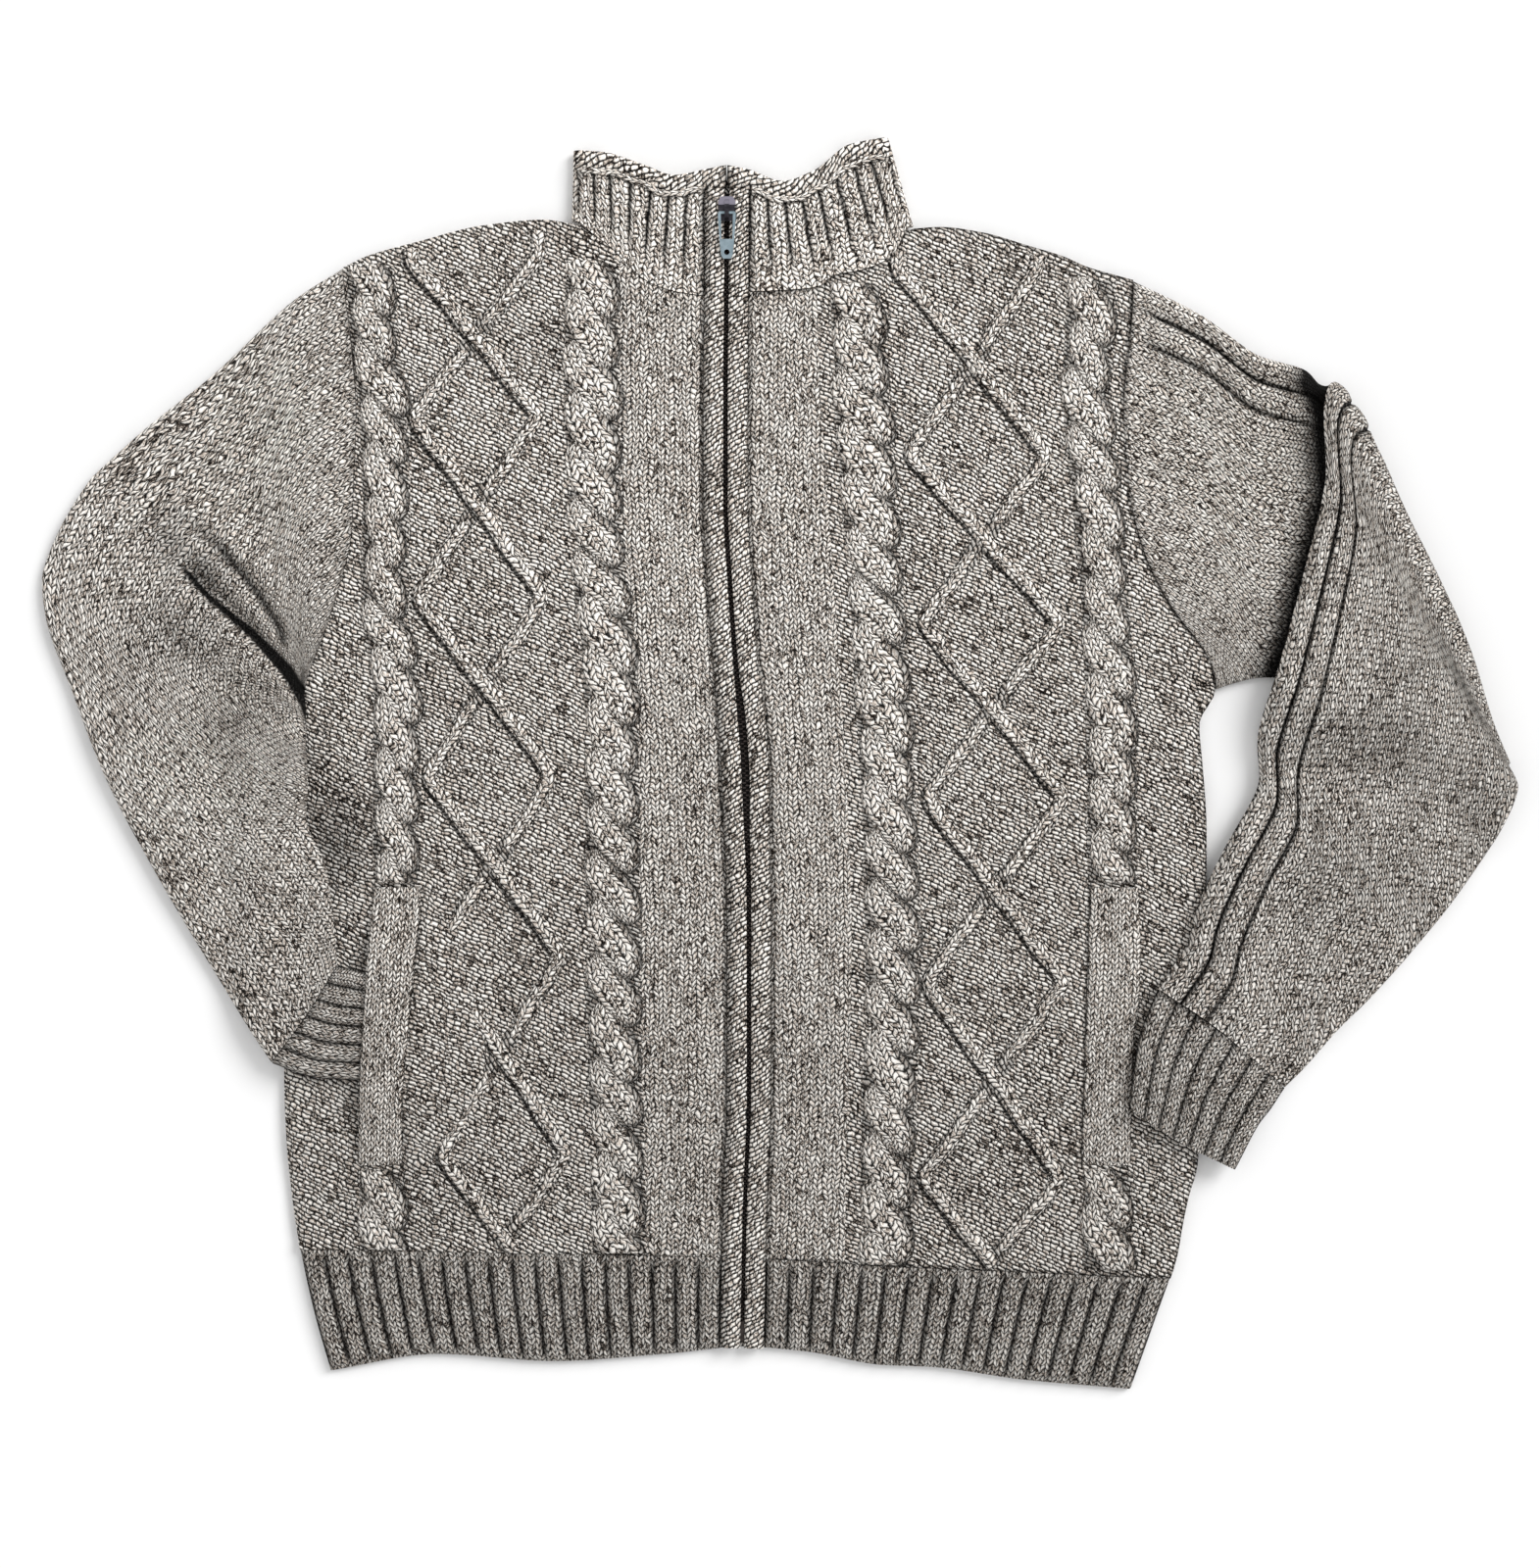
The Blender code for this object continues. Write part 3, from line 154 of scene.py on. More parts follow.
def putIn(name, data):
    made = bpy.data.objects.new(name, data)
    bpy.context.scene.collection.objects.link(made)
    return made


class Cloth:
    # collects grids of points into one mesh, with a stitch map, a purl share and a share of painted shade
    def __init__(self):
        self.points, self.faces, self.stitch, self.purl, self.gap, self.count = [], [], [], [], [], 0

    def add(self, points, faces, stitch, purl, gap=0.0):
        self.points.append(np.asarray(points, float).reshape(-1, 3))
        self.faces.extend((np.asarray(faces) + self.count).tolist())
        self.stitch.append(np.asarray(stitch, float).reshape(-1, 2))
        for kept, values in ((self.purl, purl), (self.gap, gap)):
            kept.append(np.broadcast_to(np.asarray(values, float), np.shape(stitch)[:-1]).reshape(-1))
        self.count += len(self.points[-1])

    def shell(self, top, low, stitch, purl, keep=None, gap=0.0):
        # two grids joined round every open edge
        rows, columns = top.shape[:2]
        total = rows * columns
        ids = np.arange(total).reshape(rows, columns)
        quads = np.stack([ids[:-1, :-1], ids[:-1, 1:], ids[1:, 1:], ids[1:, :-1]], axis=-1)
        quads = quads.reshape(-1, 4) if keep is None else quads[keep]
        ends = np.concatenate([quads[:, [k, (k + 1) % 4]] for k in range(4)])
        keys = np.sort(ends, axis=1)
        _, place, times = np.unique(keys, axis=0, return_index=True, return_counts=True)
        rim = ends[place[times == 1]]
        walls = np.stack([rim[:, 1], rim[:, 0], rim[:, 0] + total, rim[:, 1] + total], axis=1)
        faces = np.concatenate([quads, quads[:, ::-1] + total, walls])
        twice = [np.stack([np.broadcast_to(np.asarray(values, float), stitch.shape[:-1])] * 2)
                 for values in (purl, gap)]
        self.add(np.stack([top, low]), faces, np.stack([stitch, stitch]), *twice)

    def tube(self, spots, stitch, purl, gap):
        # rings of points, each joined to the next, with a cap on either end
        rows, count = spots.shape[:2]
        ids = np.arange(rows * count).reshape(rows, count)
        following = np.roll(ids, -1, axis=1)
        quads = np.stack([ids[:-1], ids[1:], following[1:], following[:-1]], axis=-1).reshape(-1, 4)
        caps = [(ids[k] + self.count).tolist() for k in (0, -1)]
        self.add(spots, quads, stitch, purl, gap)
        self.faces.extend(caps)

    def sweep(self, path, across, wide, ring, stitchAcross, stitchTall, purl=0.0, gap=0.0, firstWale=0.0):
        # a closed section carried along a path: ring rows are share across and height, painted shade one
        # value each
        section = np.array(ring, float)
        spots = np.empty((len(path), len(section), 3))
        spots[:, :, :2] = path[:, None, :2] + across[:, None] * (section[None, :, :1] * wide[:, None, None])
        spots[:, :, 2] = path[:, None, 2] + section[None, :, 1]
        stitch = np.empty((len(path), len(section), 2))
        stitch[:, :, 0] = section[None, :, 0] * stitchAcross + firstWale
        stitch[:, :, 1] = pathLength(path[:, :2])[:, None] / stitchTall
        self.tube(spots, stitch, purl, gap)

    def make(self, name, finish):
        points = np.concatenate(self.points) * mm
        mesh = bpy.data.meshes.new(name)
        mesh.from_pydata(points.tolist(), [], self.faces)
        corners = np.empty(len(mesh.loops), np.int32)
        mesh.loops.foreach_get("vertex_index", corners)
        stitchMap = mesh.uv_layers.new(name="stitch")
        stitchMap.data.foreach_set("uv", np.concatenate(self.stitch)[corners].astype(np.float32).ravel())
        for label, values in (("purl", self.purl), ("gap", self.gap)):
            attribute = mesh.attributes.new(label, "FLOAT", "POINT")
            attribute.data.foreach_set("value", np.concatenate(values).astype(np.float32))
        shape = bmesh.new()
        shape.from_mesh(mesh)
        bmesh.ops.remove_doubles(shape, verts=shape.verts, dist=0.000002)
        bmesh.ops.recalc_face_normals(shape, faces=shape.faces)
        shape.to_mesh(mesh)
        shape.free()
        mesh.shade_smooth()
        mesh.set_sharp_from_angle(angle=math.radians(65))
        mesh.materials.append(finish)
        return putIn(name, mesh)


def worked(operation, swapped=False):
    # a method of Link that puts it, and what it is worked with, into one maths node
    def work(self, *others):
        return self.kit.maths(operation, *((*others, self) if swapped else (self, *others)))
    return work


class Link:
    # a socket that takes part in sums
    __add__ = worked("ADD")
    __radd__ = worked("ADD", True)
    __sub__ = worked("SUBTRACT")
    __rsub__ = worked("SUBTRACT", True)
    __mul__ = worked("MULTIPLY")
    __truediv__ = worked("DIVIDE")
    __pow__ = worked("POWER")
    __abs__ = worked("ABSOLUTE")
    floor = worked("FLOOR")
    sine = worked("SINE")
    atLeast = worked("MAXIMUM")
    atMost = worked("MINIMUM")
    over = worked("GREATER_THAN")

    def __init__(self, kit, socket):
        self.kit = kit
        self.socket = socket

    def mixed(self, other, share):
        return self + (other - self) * share


class Kit:
    # adds nodes to a tree
    def __init__(self, tree):
        self.tree = tree

    def node(self, kind, settings=None, inputs=None, out=0):
        made = self.tree.nodes.new(kind)
        for key, value in (settings or {}).items():
            if key == "stops":
                ramp = made.color_ramp
                while len(ramp.elements) < len(value):
                    ramp.elements.new(0.5)
                for stop, (position, colour) in zip(ramp.elements, value):
                    stop.position = position
                    stop.color = (*colour, 1)
            else:
                setattr(made, key, value)
        for key, value in (inputs or {}).items():
            if isinstance(value, Link):
                self.tree.links.new(value.socket, made.inputs[key])
            else:
                made.inputs[key].default_value = value
        return Link(self, made.outputs[out]) if made.outputs else None

    def maths(self, operation, *values):
        return self.node("ShaderNodeMath", {"operation": operation}, dict(enumerate(values)))

    def other(self, link, out):
        return Link(self, link.socket.node.outputs[out])

    def axis(self, vector, number):
        return self.other(self.node("ShaderNodeSeparateXYZ", {}, {0: vector}), number)

    def noise(self, vector, scale, detail, more=None):
        return self.node("ShaderNodeTexNoise", {}, {"Vector": vector, "Scale": scale, "Detail": detail,
                                                    **(more or {})})

    def bump(self, strength, distance, height):
        inputs = {"Strength": strength, "Distance": distance, "Height": height}
        return self.node("ShaderNodeBump", {}, inputs)

    def chance(self, kind, inputs):
        return self.node("ShaderNodeTexWhiteNoise", {"noise_dimensions": kind}, inputs)

    def colourMix(self, share, first, second, blend="MIX"):
        settings = {"data_type": "RGBA", "blend_type": blend}
        return self.node("ShaderNodeMix", settings, {0: share, 6: first, 7: second}, out=2)


def startMaterial(name):
    material = bpy.data.materials.new(name)
    material.use_nodes = True
    material.node_tree.nodes.clear()
    kit = Kit(material.node_tree)
    return material, kit, kit.node("ShaderNodeTexCoord", out=3)


def endMaterial(kit, inputs):
    shader = kit.node("ShaderNodeBsdfPrincipled", {}, inputs)
    kit.node("ShaderNodeOutputMaterial", {}, {"Surface": shader})


# the wool's look; its hem entry is painted shade that darkens the wool toward the bottom, starting at its Y
# and growing over its reach
yarnLook = {"stops": ((0.22, (0.02, 0.013, 0.009)), (0.43, (0.78, 0.68, 0.59)), (0.56, (1.0, 0.96, 0.9))),
            "lean": 0.85, "purlSlope": 0.9, "depth": 0.0015, "wobble": (1.3, 1.4), "base": 0.12,
            "hem": {"from": 0.135, "reach": 0.36, "paintedDownShade": 0.22}}


def knitFinish(name, paintedLightLevel):
    # marl wool: V-shaped knit stitches, or the bumps of purl where the purl share says so
    material, kit, grain = startMaterial(name)
    stitch = kit.node("ShaderNodeUVMap", {"uv_map": "stitch"})
    purl, gap = (kit.node("ShaderNodeAttribute", {"attribute_name": label}, out=2)
                 for label in ("purl", "gap"))
    u = kit.axis(stitch, 0) + (kit.noise(grain, 110.0, 3.0) - 0.5) * yarnLook["wobble"][0]
    v = kit.axis(stitch, 1) + (kit.noise(grain, 90.0, 3.0) - 0.5) * yarnLook["wobble"][1]
    wale = u.floor()
    offMiddle = abs(u - wale - 0.5) * 2
    half = (u - wale).over(0.5)
    leg = abs(offMiddle - 0.5) * 2
    rise = v - offMiddle * yarnLook["lean"]
    course = rise.floor()
    thick = abs(rise - course - 0.5) * 2
    knitHigh = (1 - thick * thick).atLeast(0) ** 0.8 * (1 - offMiddle ** 6) * (1 - (1 - offMiddle) ** 12)
    sloped = v * 1.25 + u * yarnLook["purlSlope"]
    row = sloped.floor()
    stagger = (kit.chance("1D", {"W": row}) - 0.5) * 0.5
    shifted = u * 1.3 + row * 0.5 + stagger
    cell = shifted.floor()
    bump = abs(sloped - row - 0.5) * 2
    endOn = abs(shifted - cell - 0.5) * 2
    purlHigh = (1 - bump ** 1.4) * (1 - endOn ** 4)
    isPurl = purl.over(0.5)
    high = knitHigh.mixed(purlHigh, isPurl)
    first = (wale * 2 + half).mixed(cell, isPurl)
    second = course.mixed(row, isPurl)
    spot = kit.node("ShaderNodeCombineXYZ", {}, {0: first + 0.5, 1: second + 0.5, 2: isPurl * 7})
    # the plies of one stitch: two strands, each in short lengths
    strand = (leg * 1.6 + rise * 2).mixed(sloped * 2 + shifted * 0.3, isPurl).floor()
    length = (rise + offMiddle * 2.2).mixed(shifted * 2.6, isPurl).floor()
    fleck = kit.node("ShaderNodeCombineXYZ", {}, {0: strand + first * 3, 1: length + 0.5, 2: second + 0.5})
    ply = kit.chance("3D", {"Vector": fleck})
    fibre = kit.noise(grain, 1300.0, 2.0, {"Roughness": 0.7})
    patch = kit.noise(grain, 30.0, 2.0)
    tone = kit.chance("3D", {"Vector": spot}) * 0.26 + ply * 0.5
    tone = tone + (fibre - 0.5) * 0.9 + (patch - 0.5) * 0.3 + yarnLook["base"]
    yarn = kit.node("ShaderNodeValToRGB", {"stops": yarnLook["stops"]}, {0: tone})
    # little light reaches between the stitches, so shade is painted there, with the painted shade of creases
    # and grooves from the mesh, and painted shade that darkens the cloth toward the bottom
    hem = yarnLook["hem"]
    down = ((hem["from"] - kit.axis(grain, 1)) / hem["reach"]).atLeast(0).atMost(1)
    seen = (high * 2.0 - 0.34).atLeast(0.02).atMost(1.0) * (1 - gap * 0.98) * (1 - down * hem["paintedDownShade"])
    # the level paints the whole piece lighter or darker for the light that falls on it
    shaded = kit.node("ShaderNodeVectorMath", {"operation": "SCALE"}, {0: yarn, "Scale": seen * paintedLightLevel})
    normal = kit.bump(1.0, yarnLook["depth"], high + (ply - 0.5) * 0.2)
    endMaterial(kit, {"Base Color": shaded, "Roughness": 0.92, "Normal": normal, "Specular IOR Level": 0.12})
    return material


def jerseyFinish(name):
    # the pocket bags' thin plain knit
    material, kit, grain = startMaterial(name)
    high = ((kit.axis(grain, 0) * 2600).sine() + (kit.axis(grain, 1) * 3400).sine()) * 0.25 + 0.5
    share = kit.noise(grain, 300.0, 3.0) * 0.6 + high * 0.3
    colour = kit.colourMix(share, (0.05, 0.045, 0.04, 1), (0.2, 0.18, 0.16, 1))
    endMaterial(kit, {"Base Color": colour, "Roughness": 0.9, "Normal": kit.bump(0.6, 0.0004, high)})
    return material


def tapeFinish(name):
    # woven zip tape, nearly black
    material, kit, grain = startMaterial(name)
    x, y = kit.axis(grain, 0), kit.axis(grain, 1)
    weave = ((x + y) * 5200).sine() * ((x - y) * 5200).sine()
    colour = kit.colourMix(weave * 0.5 + 0.5, (0.006, 0.005, 0.005, 1), (0.022, 0.018, 0.017, 1))
    endMaterial(kit, {"Base Color": colour, "Roughness": 0.8, "Normal": kit.bump(0.7, 0.0003, weave)})
    return material


def metalFinish(name, dark, light, rough, plate=None):
    # plated metal with faint scratches and rubbed patches
    material, kit, grain = startMaterial(name)
    stretched = kit.node("ShaderNodeMapping", {}, {"Vector": grain, "Scale": (1.0, 9.0, 1.0)})
    scratch = kit.noise(stretched, 420.0, 4.0)
    worn = kit.noise(grain, 240.0, 2.0) * 1.4 - 0.2
    colour = kit.colourMix(worn, (*dark, 1), (*light, 1))
    if plate:
        # the slider's top end is another colour
        colour = kit.colourMix(kit.axis(grain, 1).over(plate["from"]), colour, (*plate["colour"], 1))
    endMaterial(kit, {"Base Color": colour, "Roughness": (scratch * 0.25 + rough).atMost(0.9),
                      "Normal": kit.bump(0.3, 0.0001, scratch), "Metallic": 1.0})
    return material


# copies of one wool with painted light: the body, collar, rim and zip bands painted brighter, the cuffs, back
# hem and front hems painted darker
woolBody = knitFinish("woolBody", 1.13)
woolSleeve = knitFinish("woolSleeve", 1.0)
woolRib = knitFinish("woolRib", 0.88)
woolHem = knitFinish("woolHem", 0.8)
woolRim = knitFinish("woolRim", 1.3)
jersey = jerseyFinish("pocketJersey")
tape = tapeFinish("zipTape")
toothMetal = metalFinish("toothMetal", (0.015, 0.012, 0.011), (0.09, 0.075, 0.07), 0.4)
zipMetal = metalFinish("zipMetal", (0.01, 0.01, 0.012), (0.09, 0.085, 0.1), 0.25,
                       {"from": 0.3302, "colour": (0.3, 0.28, 0.34)})
platePaint = metalFinish("pullPlate", (0.2, 0.27, 0.31), (0.45, 0.56, 0.62), 0.22)
print("finishes made")


def declare(made, nodes, body="root"):
    # every piece rides on its body and stands for its solids
    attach(made, body)
    if nodes:
        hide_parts(*nodes)
    return made


def polygonArea(points):
    points = np.asarray(points, float) * mm
    ahead = np.roll(points, -1, axis=0)
    return abs((points[:, 0] * ahead[:, 1] - points[:, 1] * ahead[:, 0]).sum()) / 2


def gridArea(grid):
    plan = grid[..., :2]
    return polygonArea(np.concatenate([plan[0], plan[:, -1], plan[-1, ::-1], plan[::-1, 0]]))


def shareList(counts):
    # block number and share inside the block, closer together at a block's ends
    found = []
    for block, count in enumerate(counts):
        for k in range(count):
            found.append((block, k / count - 0.55 * math.sin(2 * math.pi * k / count) / (2 * math.pi)))
    block, share = np.array(found + [(len(counts) - 1, 1.0)]).T
    return block.astype(int), share


def between(marks, block, share):
    # the place at a share of the way between the two marks of a block
    marks = np.stack(marks)
    block = np.broadcast_to(block, marks.shape[1:])[None]
    low, high = (np.take_along_axis(marks, block + k, 0)[0] for k in (0, 1))
    return low + share * (high - low)


def sideOf(x, y, path):
    # distance from a path, above nought on its left as it runs, and the share of its length passed
    path = np.asarray(path, float)
    nearest = np.full(np.shape(x), 1e9)
    signed, share = np.zeros(np.shape(x)), np.zeros(np.shape(x))
    length = pathLength(path)
    for k in range(len(path) - 1):
        step = path[k + 1] - path[k]
        size = np.linalg.norm(step)
        t = np.clip(((x - path[k, 0]) * step[0] + (y - path[k, 1]) * step[1]) / size ** 2, 0, 1)
        offX, offY = x - path[k, 0] - t * step[0], y - path[k, 1] - t * step[1]
        far = np.hypot(offX, offY)
        side = np.sign(step[0] * offY - step[1] * offX)
        closer = far < nearest
        nearest = np.where(closer, far, nearest)
        signed = np.where(closer, side * far, signed)
        share = np.where(closer, (length[k] + t * size) / length[-1], share)
    return signed, share


def shadeAndToneBlots(x, y, spots):
    # broad dark patches, partly painted shadow and partly uneven tone: middle X, Y, reach across, reach down,
    # strength
    total = 0 * x
    for middleX, middleY, across, down, strength in spots:
        total = total + strength * np.exp(-((x - middleX) / across) ** 2 - ((y - middleY) / down) ** 2)
    return total


# The left elbow's fold: the forearm's edge over the upper arm, and the valley of the tuck above it
leftFold = {
    "edge": ((-357.6, 119.5), (-336, 95.7), (-312.3, 74.2), (-293.2, 52.8), (-281.6, 33.6), (-276.4, 5.2),
             (-279.3, -19.1), (-269.4, -42.9), (-254.9, -62.1), (-239.8, -80.6)),
    "tuck": ((-366, 150), (-349, 141), (-331.5, 129), (-316, 111), (-307.7, 100.4), (-295.7, 81.3),
             (-291, 66)),
    "soft": ((-268, 12), (-288, -25), (-297, -70), (-305, -105)),
    "high": 11.0,
}
# dark patches for each piece, partly painted shadow in the crooks of the sleeves and partly uneven tone
patches = {
    "frontLeft": ((-259, -41, 18, 28, 0.45), (-121, 249, 22, 16, 0.3), (-230, -250, 45, 40, 0.12)),
    "frontRight": (),
    "sleeveLeft": ((-361, 132, 15, 20, 0.4), (-349, 73, 27, 20, 0.3), (-323, 23, 16, 12, 0.25),
                   (-336, 113, 12, 17, 0.35)),
    "sleeveRight": ((338, 12, 40, 18, 0.22), (375, 60, 22, 22, 0.12), (330, -70, 40, 30, 0.2)),
}
frontLook = {"columns": {"left": (18, 9, 74), "right": (15, 9, 76)}, "rows": (14, 44, 96), "edgeRound": 4.0,
             "edgeDrop": 2.2, "pocketRise": 9.0, "flat": {"left": (0.255, 0.625), "right": (0.272, 0.625)},
             "seamShade": {"left": 0.15, "right": 0.7}, "ropeEdge": {"left": -1, "right": 9}}


def pocketUp(y):
    return easeStep(-84, -121, y) * easeStep(-232, -190, y)


def frontMarks(side, y):
    return [along(sideEdge[side], y), along(pocketMouth[side], y) + toward[side] * heights["weltLap"],
            along(pocketSeam[side], y), zipEdge(side, y)]


def frontTopLine(side, x):
    if side == "left":
        return np.where(x > -119, along(frontNeck["left"], x), along(shoulderLine["left"], x))
    return np.where(x < 77, along(frontNeck["right"], x), along(shoulderLine["right"], x))


def makeFront(side):
    look = frontLook
    columnBlock, columnShare = shareList(look["columns"][side])
    rowBlock, rowShare = (part[:, None] for part in shareList(look["rows"]))
    y = np.zeros((len(rowBlock), len(columnBlock)))
    for _ in range(14):
        x = between(frontMarks(side, y), columnBlock, columnShare)
        foot, top = along(ribLine, x), frontTopLine(side, x)
        levels = [foot, 0 * x + heights["pocketFoot"], 0 * x + heights["pocketTop"], top]
        y = between(levels, rowBlock, rowShare)
    marks = frontMarks(side, y)
    toSide, toZip = abs(x - marks[0]), abs(x - marks[3])
    inWindowRows = (rowBlock == 1) | ((rowBlock == 2) & (rowShare == 0))
    edge = np.minimum.reduce([toSide, toZip, y - foot, 0.8 * (top - y)])
    beside = np.where(columnBlock >= 2, abs(x - marks[2]), 99.0)
    beside = np.where(columnBlock <= 0, abs(x - marks[1]), beside)
    beside = np.where((columnBlock == 1) & (columnShare == 0), 0.0, beside)
    edge = np.where(inWindowRows, np.minimum(edge, beside), edge)
    sewn = (top - y < 6) | (y - foot < 6) | ((toSide < 6) & (y > armpitY[side] + 8))
    drop = look["edgeDrop"] * (1 - easeStep(0, look["edgeRound"], edge)) * np.where(sewn, 0.35, 1.0)
    lift = 0 * x
    if side == "left":
        lift = look["pocketRise"] * easeStep(-165, -222, x) * (columnBlock >= 2) * pocketUp(y)
    inward = (x - along(pocketSeam[side], y)) * toward[side]
    room = 1.1 * easeStep(-60, -50, inward) * easeStep(123, 112, inward)
    room = room * easeStep(-59, -69, y) * easeStep(-262, -252, y)
    upper = layer(x, y, heights["frontTop"] + lift + ripple(x, y) - drop)
    under = layer(x, y, heights["frontLow"] + lift + room)
    width, _, rows = ropeLook[side][0]
    ropeEdge = along(rows, y) + toward[side] * (width / 2 + look["ropeEdge"][side])
    purlShare = np.clip(0.5 - (x - ropeEdge) * toward[side] / 8, 0, 1)
    stitch = np.stack([(x - along(zipLine, y)) / gauge["wide"], y / gauge["tall"]], axis=-1)
    keep = ~((rowBlock[:-1] == 1) & (columnBlock[None, :-1] == 1))
    # painted shade beside the zip band and along the seams, a painted shadow by the left forearm, a knit
    # ground a little darker than the purl, then the dark patches
    gap = 0.35 * (1 - easeStep(0.6, 2.6, toZip))
    gap = gap + look["seamShade"][side] * (1 - easeStep(0.3, 2.0, np.where(toZip < 3, 9, edge)))
    if side == "left":
        # painted shadow of the left forearm's edge on the front
        away, passed = sideOf(x, y, leftFold["edge"])
        beside = easeStep(0.45, 0.6, passed) * easeStep(1, 0.9, passed)
        gap = gap + 0.2 * np.exp(-np.maximum(away, 0) / 12) * beside
    gap = gap + 0.1 * (1 - purlShare) + shadeAndToneBlots(x, y, patches["front" + side.title()])
    cloth = Cloth()
    cloth.shell(upper, under, stitch, purlShare, keep, np.clip(gap, 0, 1))
    return cloth.make(f"front{side.title()}Knit", woolBody), gridArea(upper)


# Rope cables: width, the first lobe's middle Y, then the middle line as Y, X
ropeLook = {
    "left": ((31, 288.2, ((298, -110), (162, -109.6), (46, -98.9), (-128, -97.2), (-290, -94))),
             (27, 289.0, ((296, -241), (275, -240.4), (212, -234), (160, -232), (97, -232), (40, -225.5),
                          (-71, -225.5))),
             (27, -252.0, ((-240, -233), (-268, -233), (-290, -233)))),
    "right": ((31, 271.9, ((285, 47.5), (220, 49.6), (162, 53.7), (-30, 65.8), (-99, 68.2), (-233, 65),
                           (-297, 64))),
              (28, 272.0, ((288, 186), (271, 185.6), (209, 183.3), (160, 189.4), (64, 195.8), (2, 197.8),
                           (-71, 198))),
              (28, -252.0, ((-240, 195.2), (-300, 195.2)))),
}
lobeLook = {"pitch": 30.1, "swing": 8.5, "wide": 12.4, "high": 3.9, "length": 50.0, "round": 9,
            "shares": (0, 0.04, 0.11, 0.22, 0.37, 0.53, 0.69, 0.85, 1.0)}


def lobeShape():
    # one crossing of a rope 31 wide: a fat strand, upper left to lower right, narrower at its tail
    look = lobeLook
    share = np.array(look["shares"])
    x = 0.6 - look["swing"] * np.cos(np.pi * easeStep(0.0, 1.0, share))
    y = (0.5 - share) * look["length"]
    run = np.stack([np.gradient(x, share), np.gradient(y, share)], axis=1)
    run /= np.linalg.norm(run, axis=1)[:, None]
    body = np.clip(np.sin(np.pi * share ** 0.8), 0, 1)
    wide = look["wide"] * (0.25 + 0.75 * body ** 0.7)
    ring = [(-math.cos(t), math.sin(t) ** (0.5 if t < 1.57 else 0.9))
            for t in np.linspace(0, np.pi, look["round"])]
    ring += [(0.7, -0.9), (-0.7, -0.9)]
    across, up = np.array(ring).T
    rise = -2.8 + 2.8 * body ** 0.5 + 0.5 * easeStep(0.7, 0.3, share)
    reach = across * wide[:, None]
    spots = layer(x[:, None] - run[:, 1:] * reach, y[:, None] + run[:, :1] * reach,
                  rise[:, None] + up * look["high"])
    stitch = np.stack(np.broadcast_arrays(across * 1.8, -share[:, None] * look["length"] / 3.3), axis=-1)
    # painted shade along the strand's sides and at its two ends, where it meets the next crossing
    side = np.minimum(1.0, np.maximum(0.0, -across - 0.6) / 0.25) + np.maximum(0.0, across - 0.8)
    ends = 2.2 * (1 - easeStep(0.0, 0.1, share)) + 1 - easeStep(1.0, 0.9, share)
    cloth = Cloth()
    cloth.tube(spots, stitch, 0.0, np.clip(0.9 * side + 0.3 * ends[:, None], 0, 0.9))
    return cloth.make("ropeLobe", woolBody)


def alongTree():
    # sets copies of a piece along a line, each turned to follow it
    tree = bpy.data.node_groups.new("copiesAlongLine", "GeometryNodeTree")
    named = {"Geometry": "Geometry", "Piece": "Object", "Spacing": "Float", "Size": "Vector",
             "Jitter": "Float", "Seed": "Int", "Finish": "Material", "Rounding": "Int"}
    for label, kind in named.items():
        tree.interface.new_socket(label, in_out="INPUT", socket_type="NodeSocket" + kind)
    tree.interface.new_socket("Geometry", in_out="OUTPUT", socket_type="NodeSocketGeometry")
    kit = Kit(tree)
    source = kit.node("NodeGroupInput")
    inputs = [kit.other(source, k) for k in range(1, len(named))]
    piece, spacing, size, jitter, seed, finish, rounding = inputs
    line = kit.node("GeometryNodeMeshToCurve", {}, {"Mesh": source})
    points = kit.node("GeometryNodeCurveToPoints", {"mode": "LENGTH"}, {"Curve": line, "Length": spacing})
    turn = kit.node("FunctionNodeAlignRotationToVector", {"axis": "Y", "pivot_axis": "Z"},
                    {"Vector": kit.other(points, 1)})
    spread = kit.node("FunctionNodeRandomValue", {"data_type": "FLOAT"},
                      {"Min": 1 - jitter, "Max": 1 + jitter, "Seed": seed}, out=1)
    grown = kit.node("ShaderNodeVectorMath", {"operation": "SCALE"}, {0: size, "Scale": spread})
    lean = kit.node("FunctionNodeRandomValue", {"data_type": "FLOAT"},
                    {"Min": jitter * -1.2, "Max": jitter * 1.2, "Seed": seed + 5}, out=1)
    twist = kit.node("ShaderNodeCombineXYZ", {}, {2: lean})
    leant = kit.node("FunctionNodeRotateRotation", {}, {0: turn, 1: twist})
    shape = kit.node("GeometryNodeObjectInfo", {"transform_space": "ORIGINAL"}, {"Object": piece}, out=4)
    copies = kit.node("GeometryNodeInstanceOnPoints", {},
                      {"Points": points, "Instance": shape, "Rotation": leant, "Scale": grown})
    real = kit.node("GeometryNodeRealizeInstances", {}, {0: copies})
    smooth = kit.node("GeometryNodeSubdivisionSurface", {}, {"Mesh": real, "Level": rounding})
    done = kit.node("GeometryNodeSetMaterial", {}, {"Geometry": smooth, "Material": finish})
    kit.node("NodeGroupOutput", {}, {0: done})
    return tree


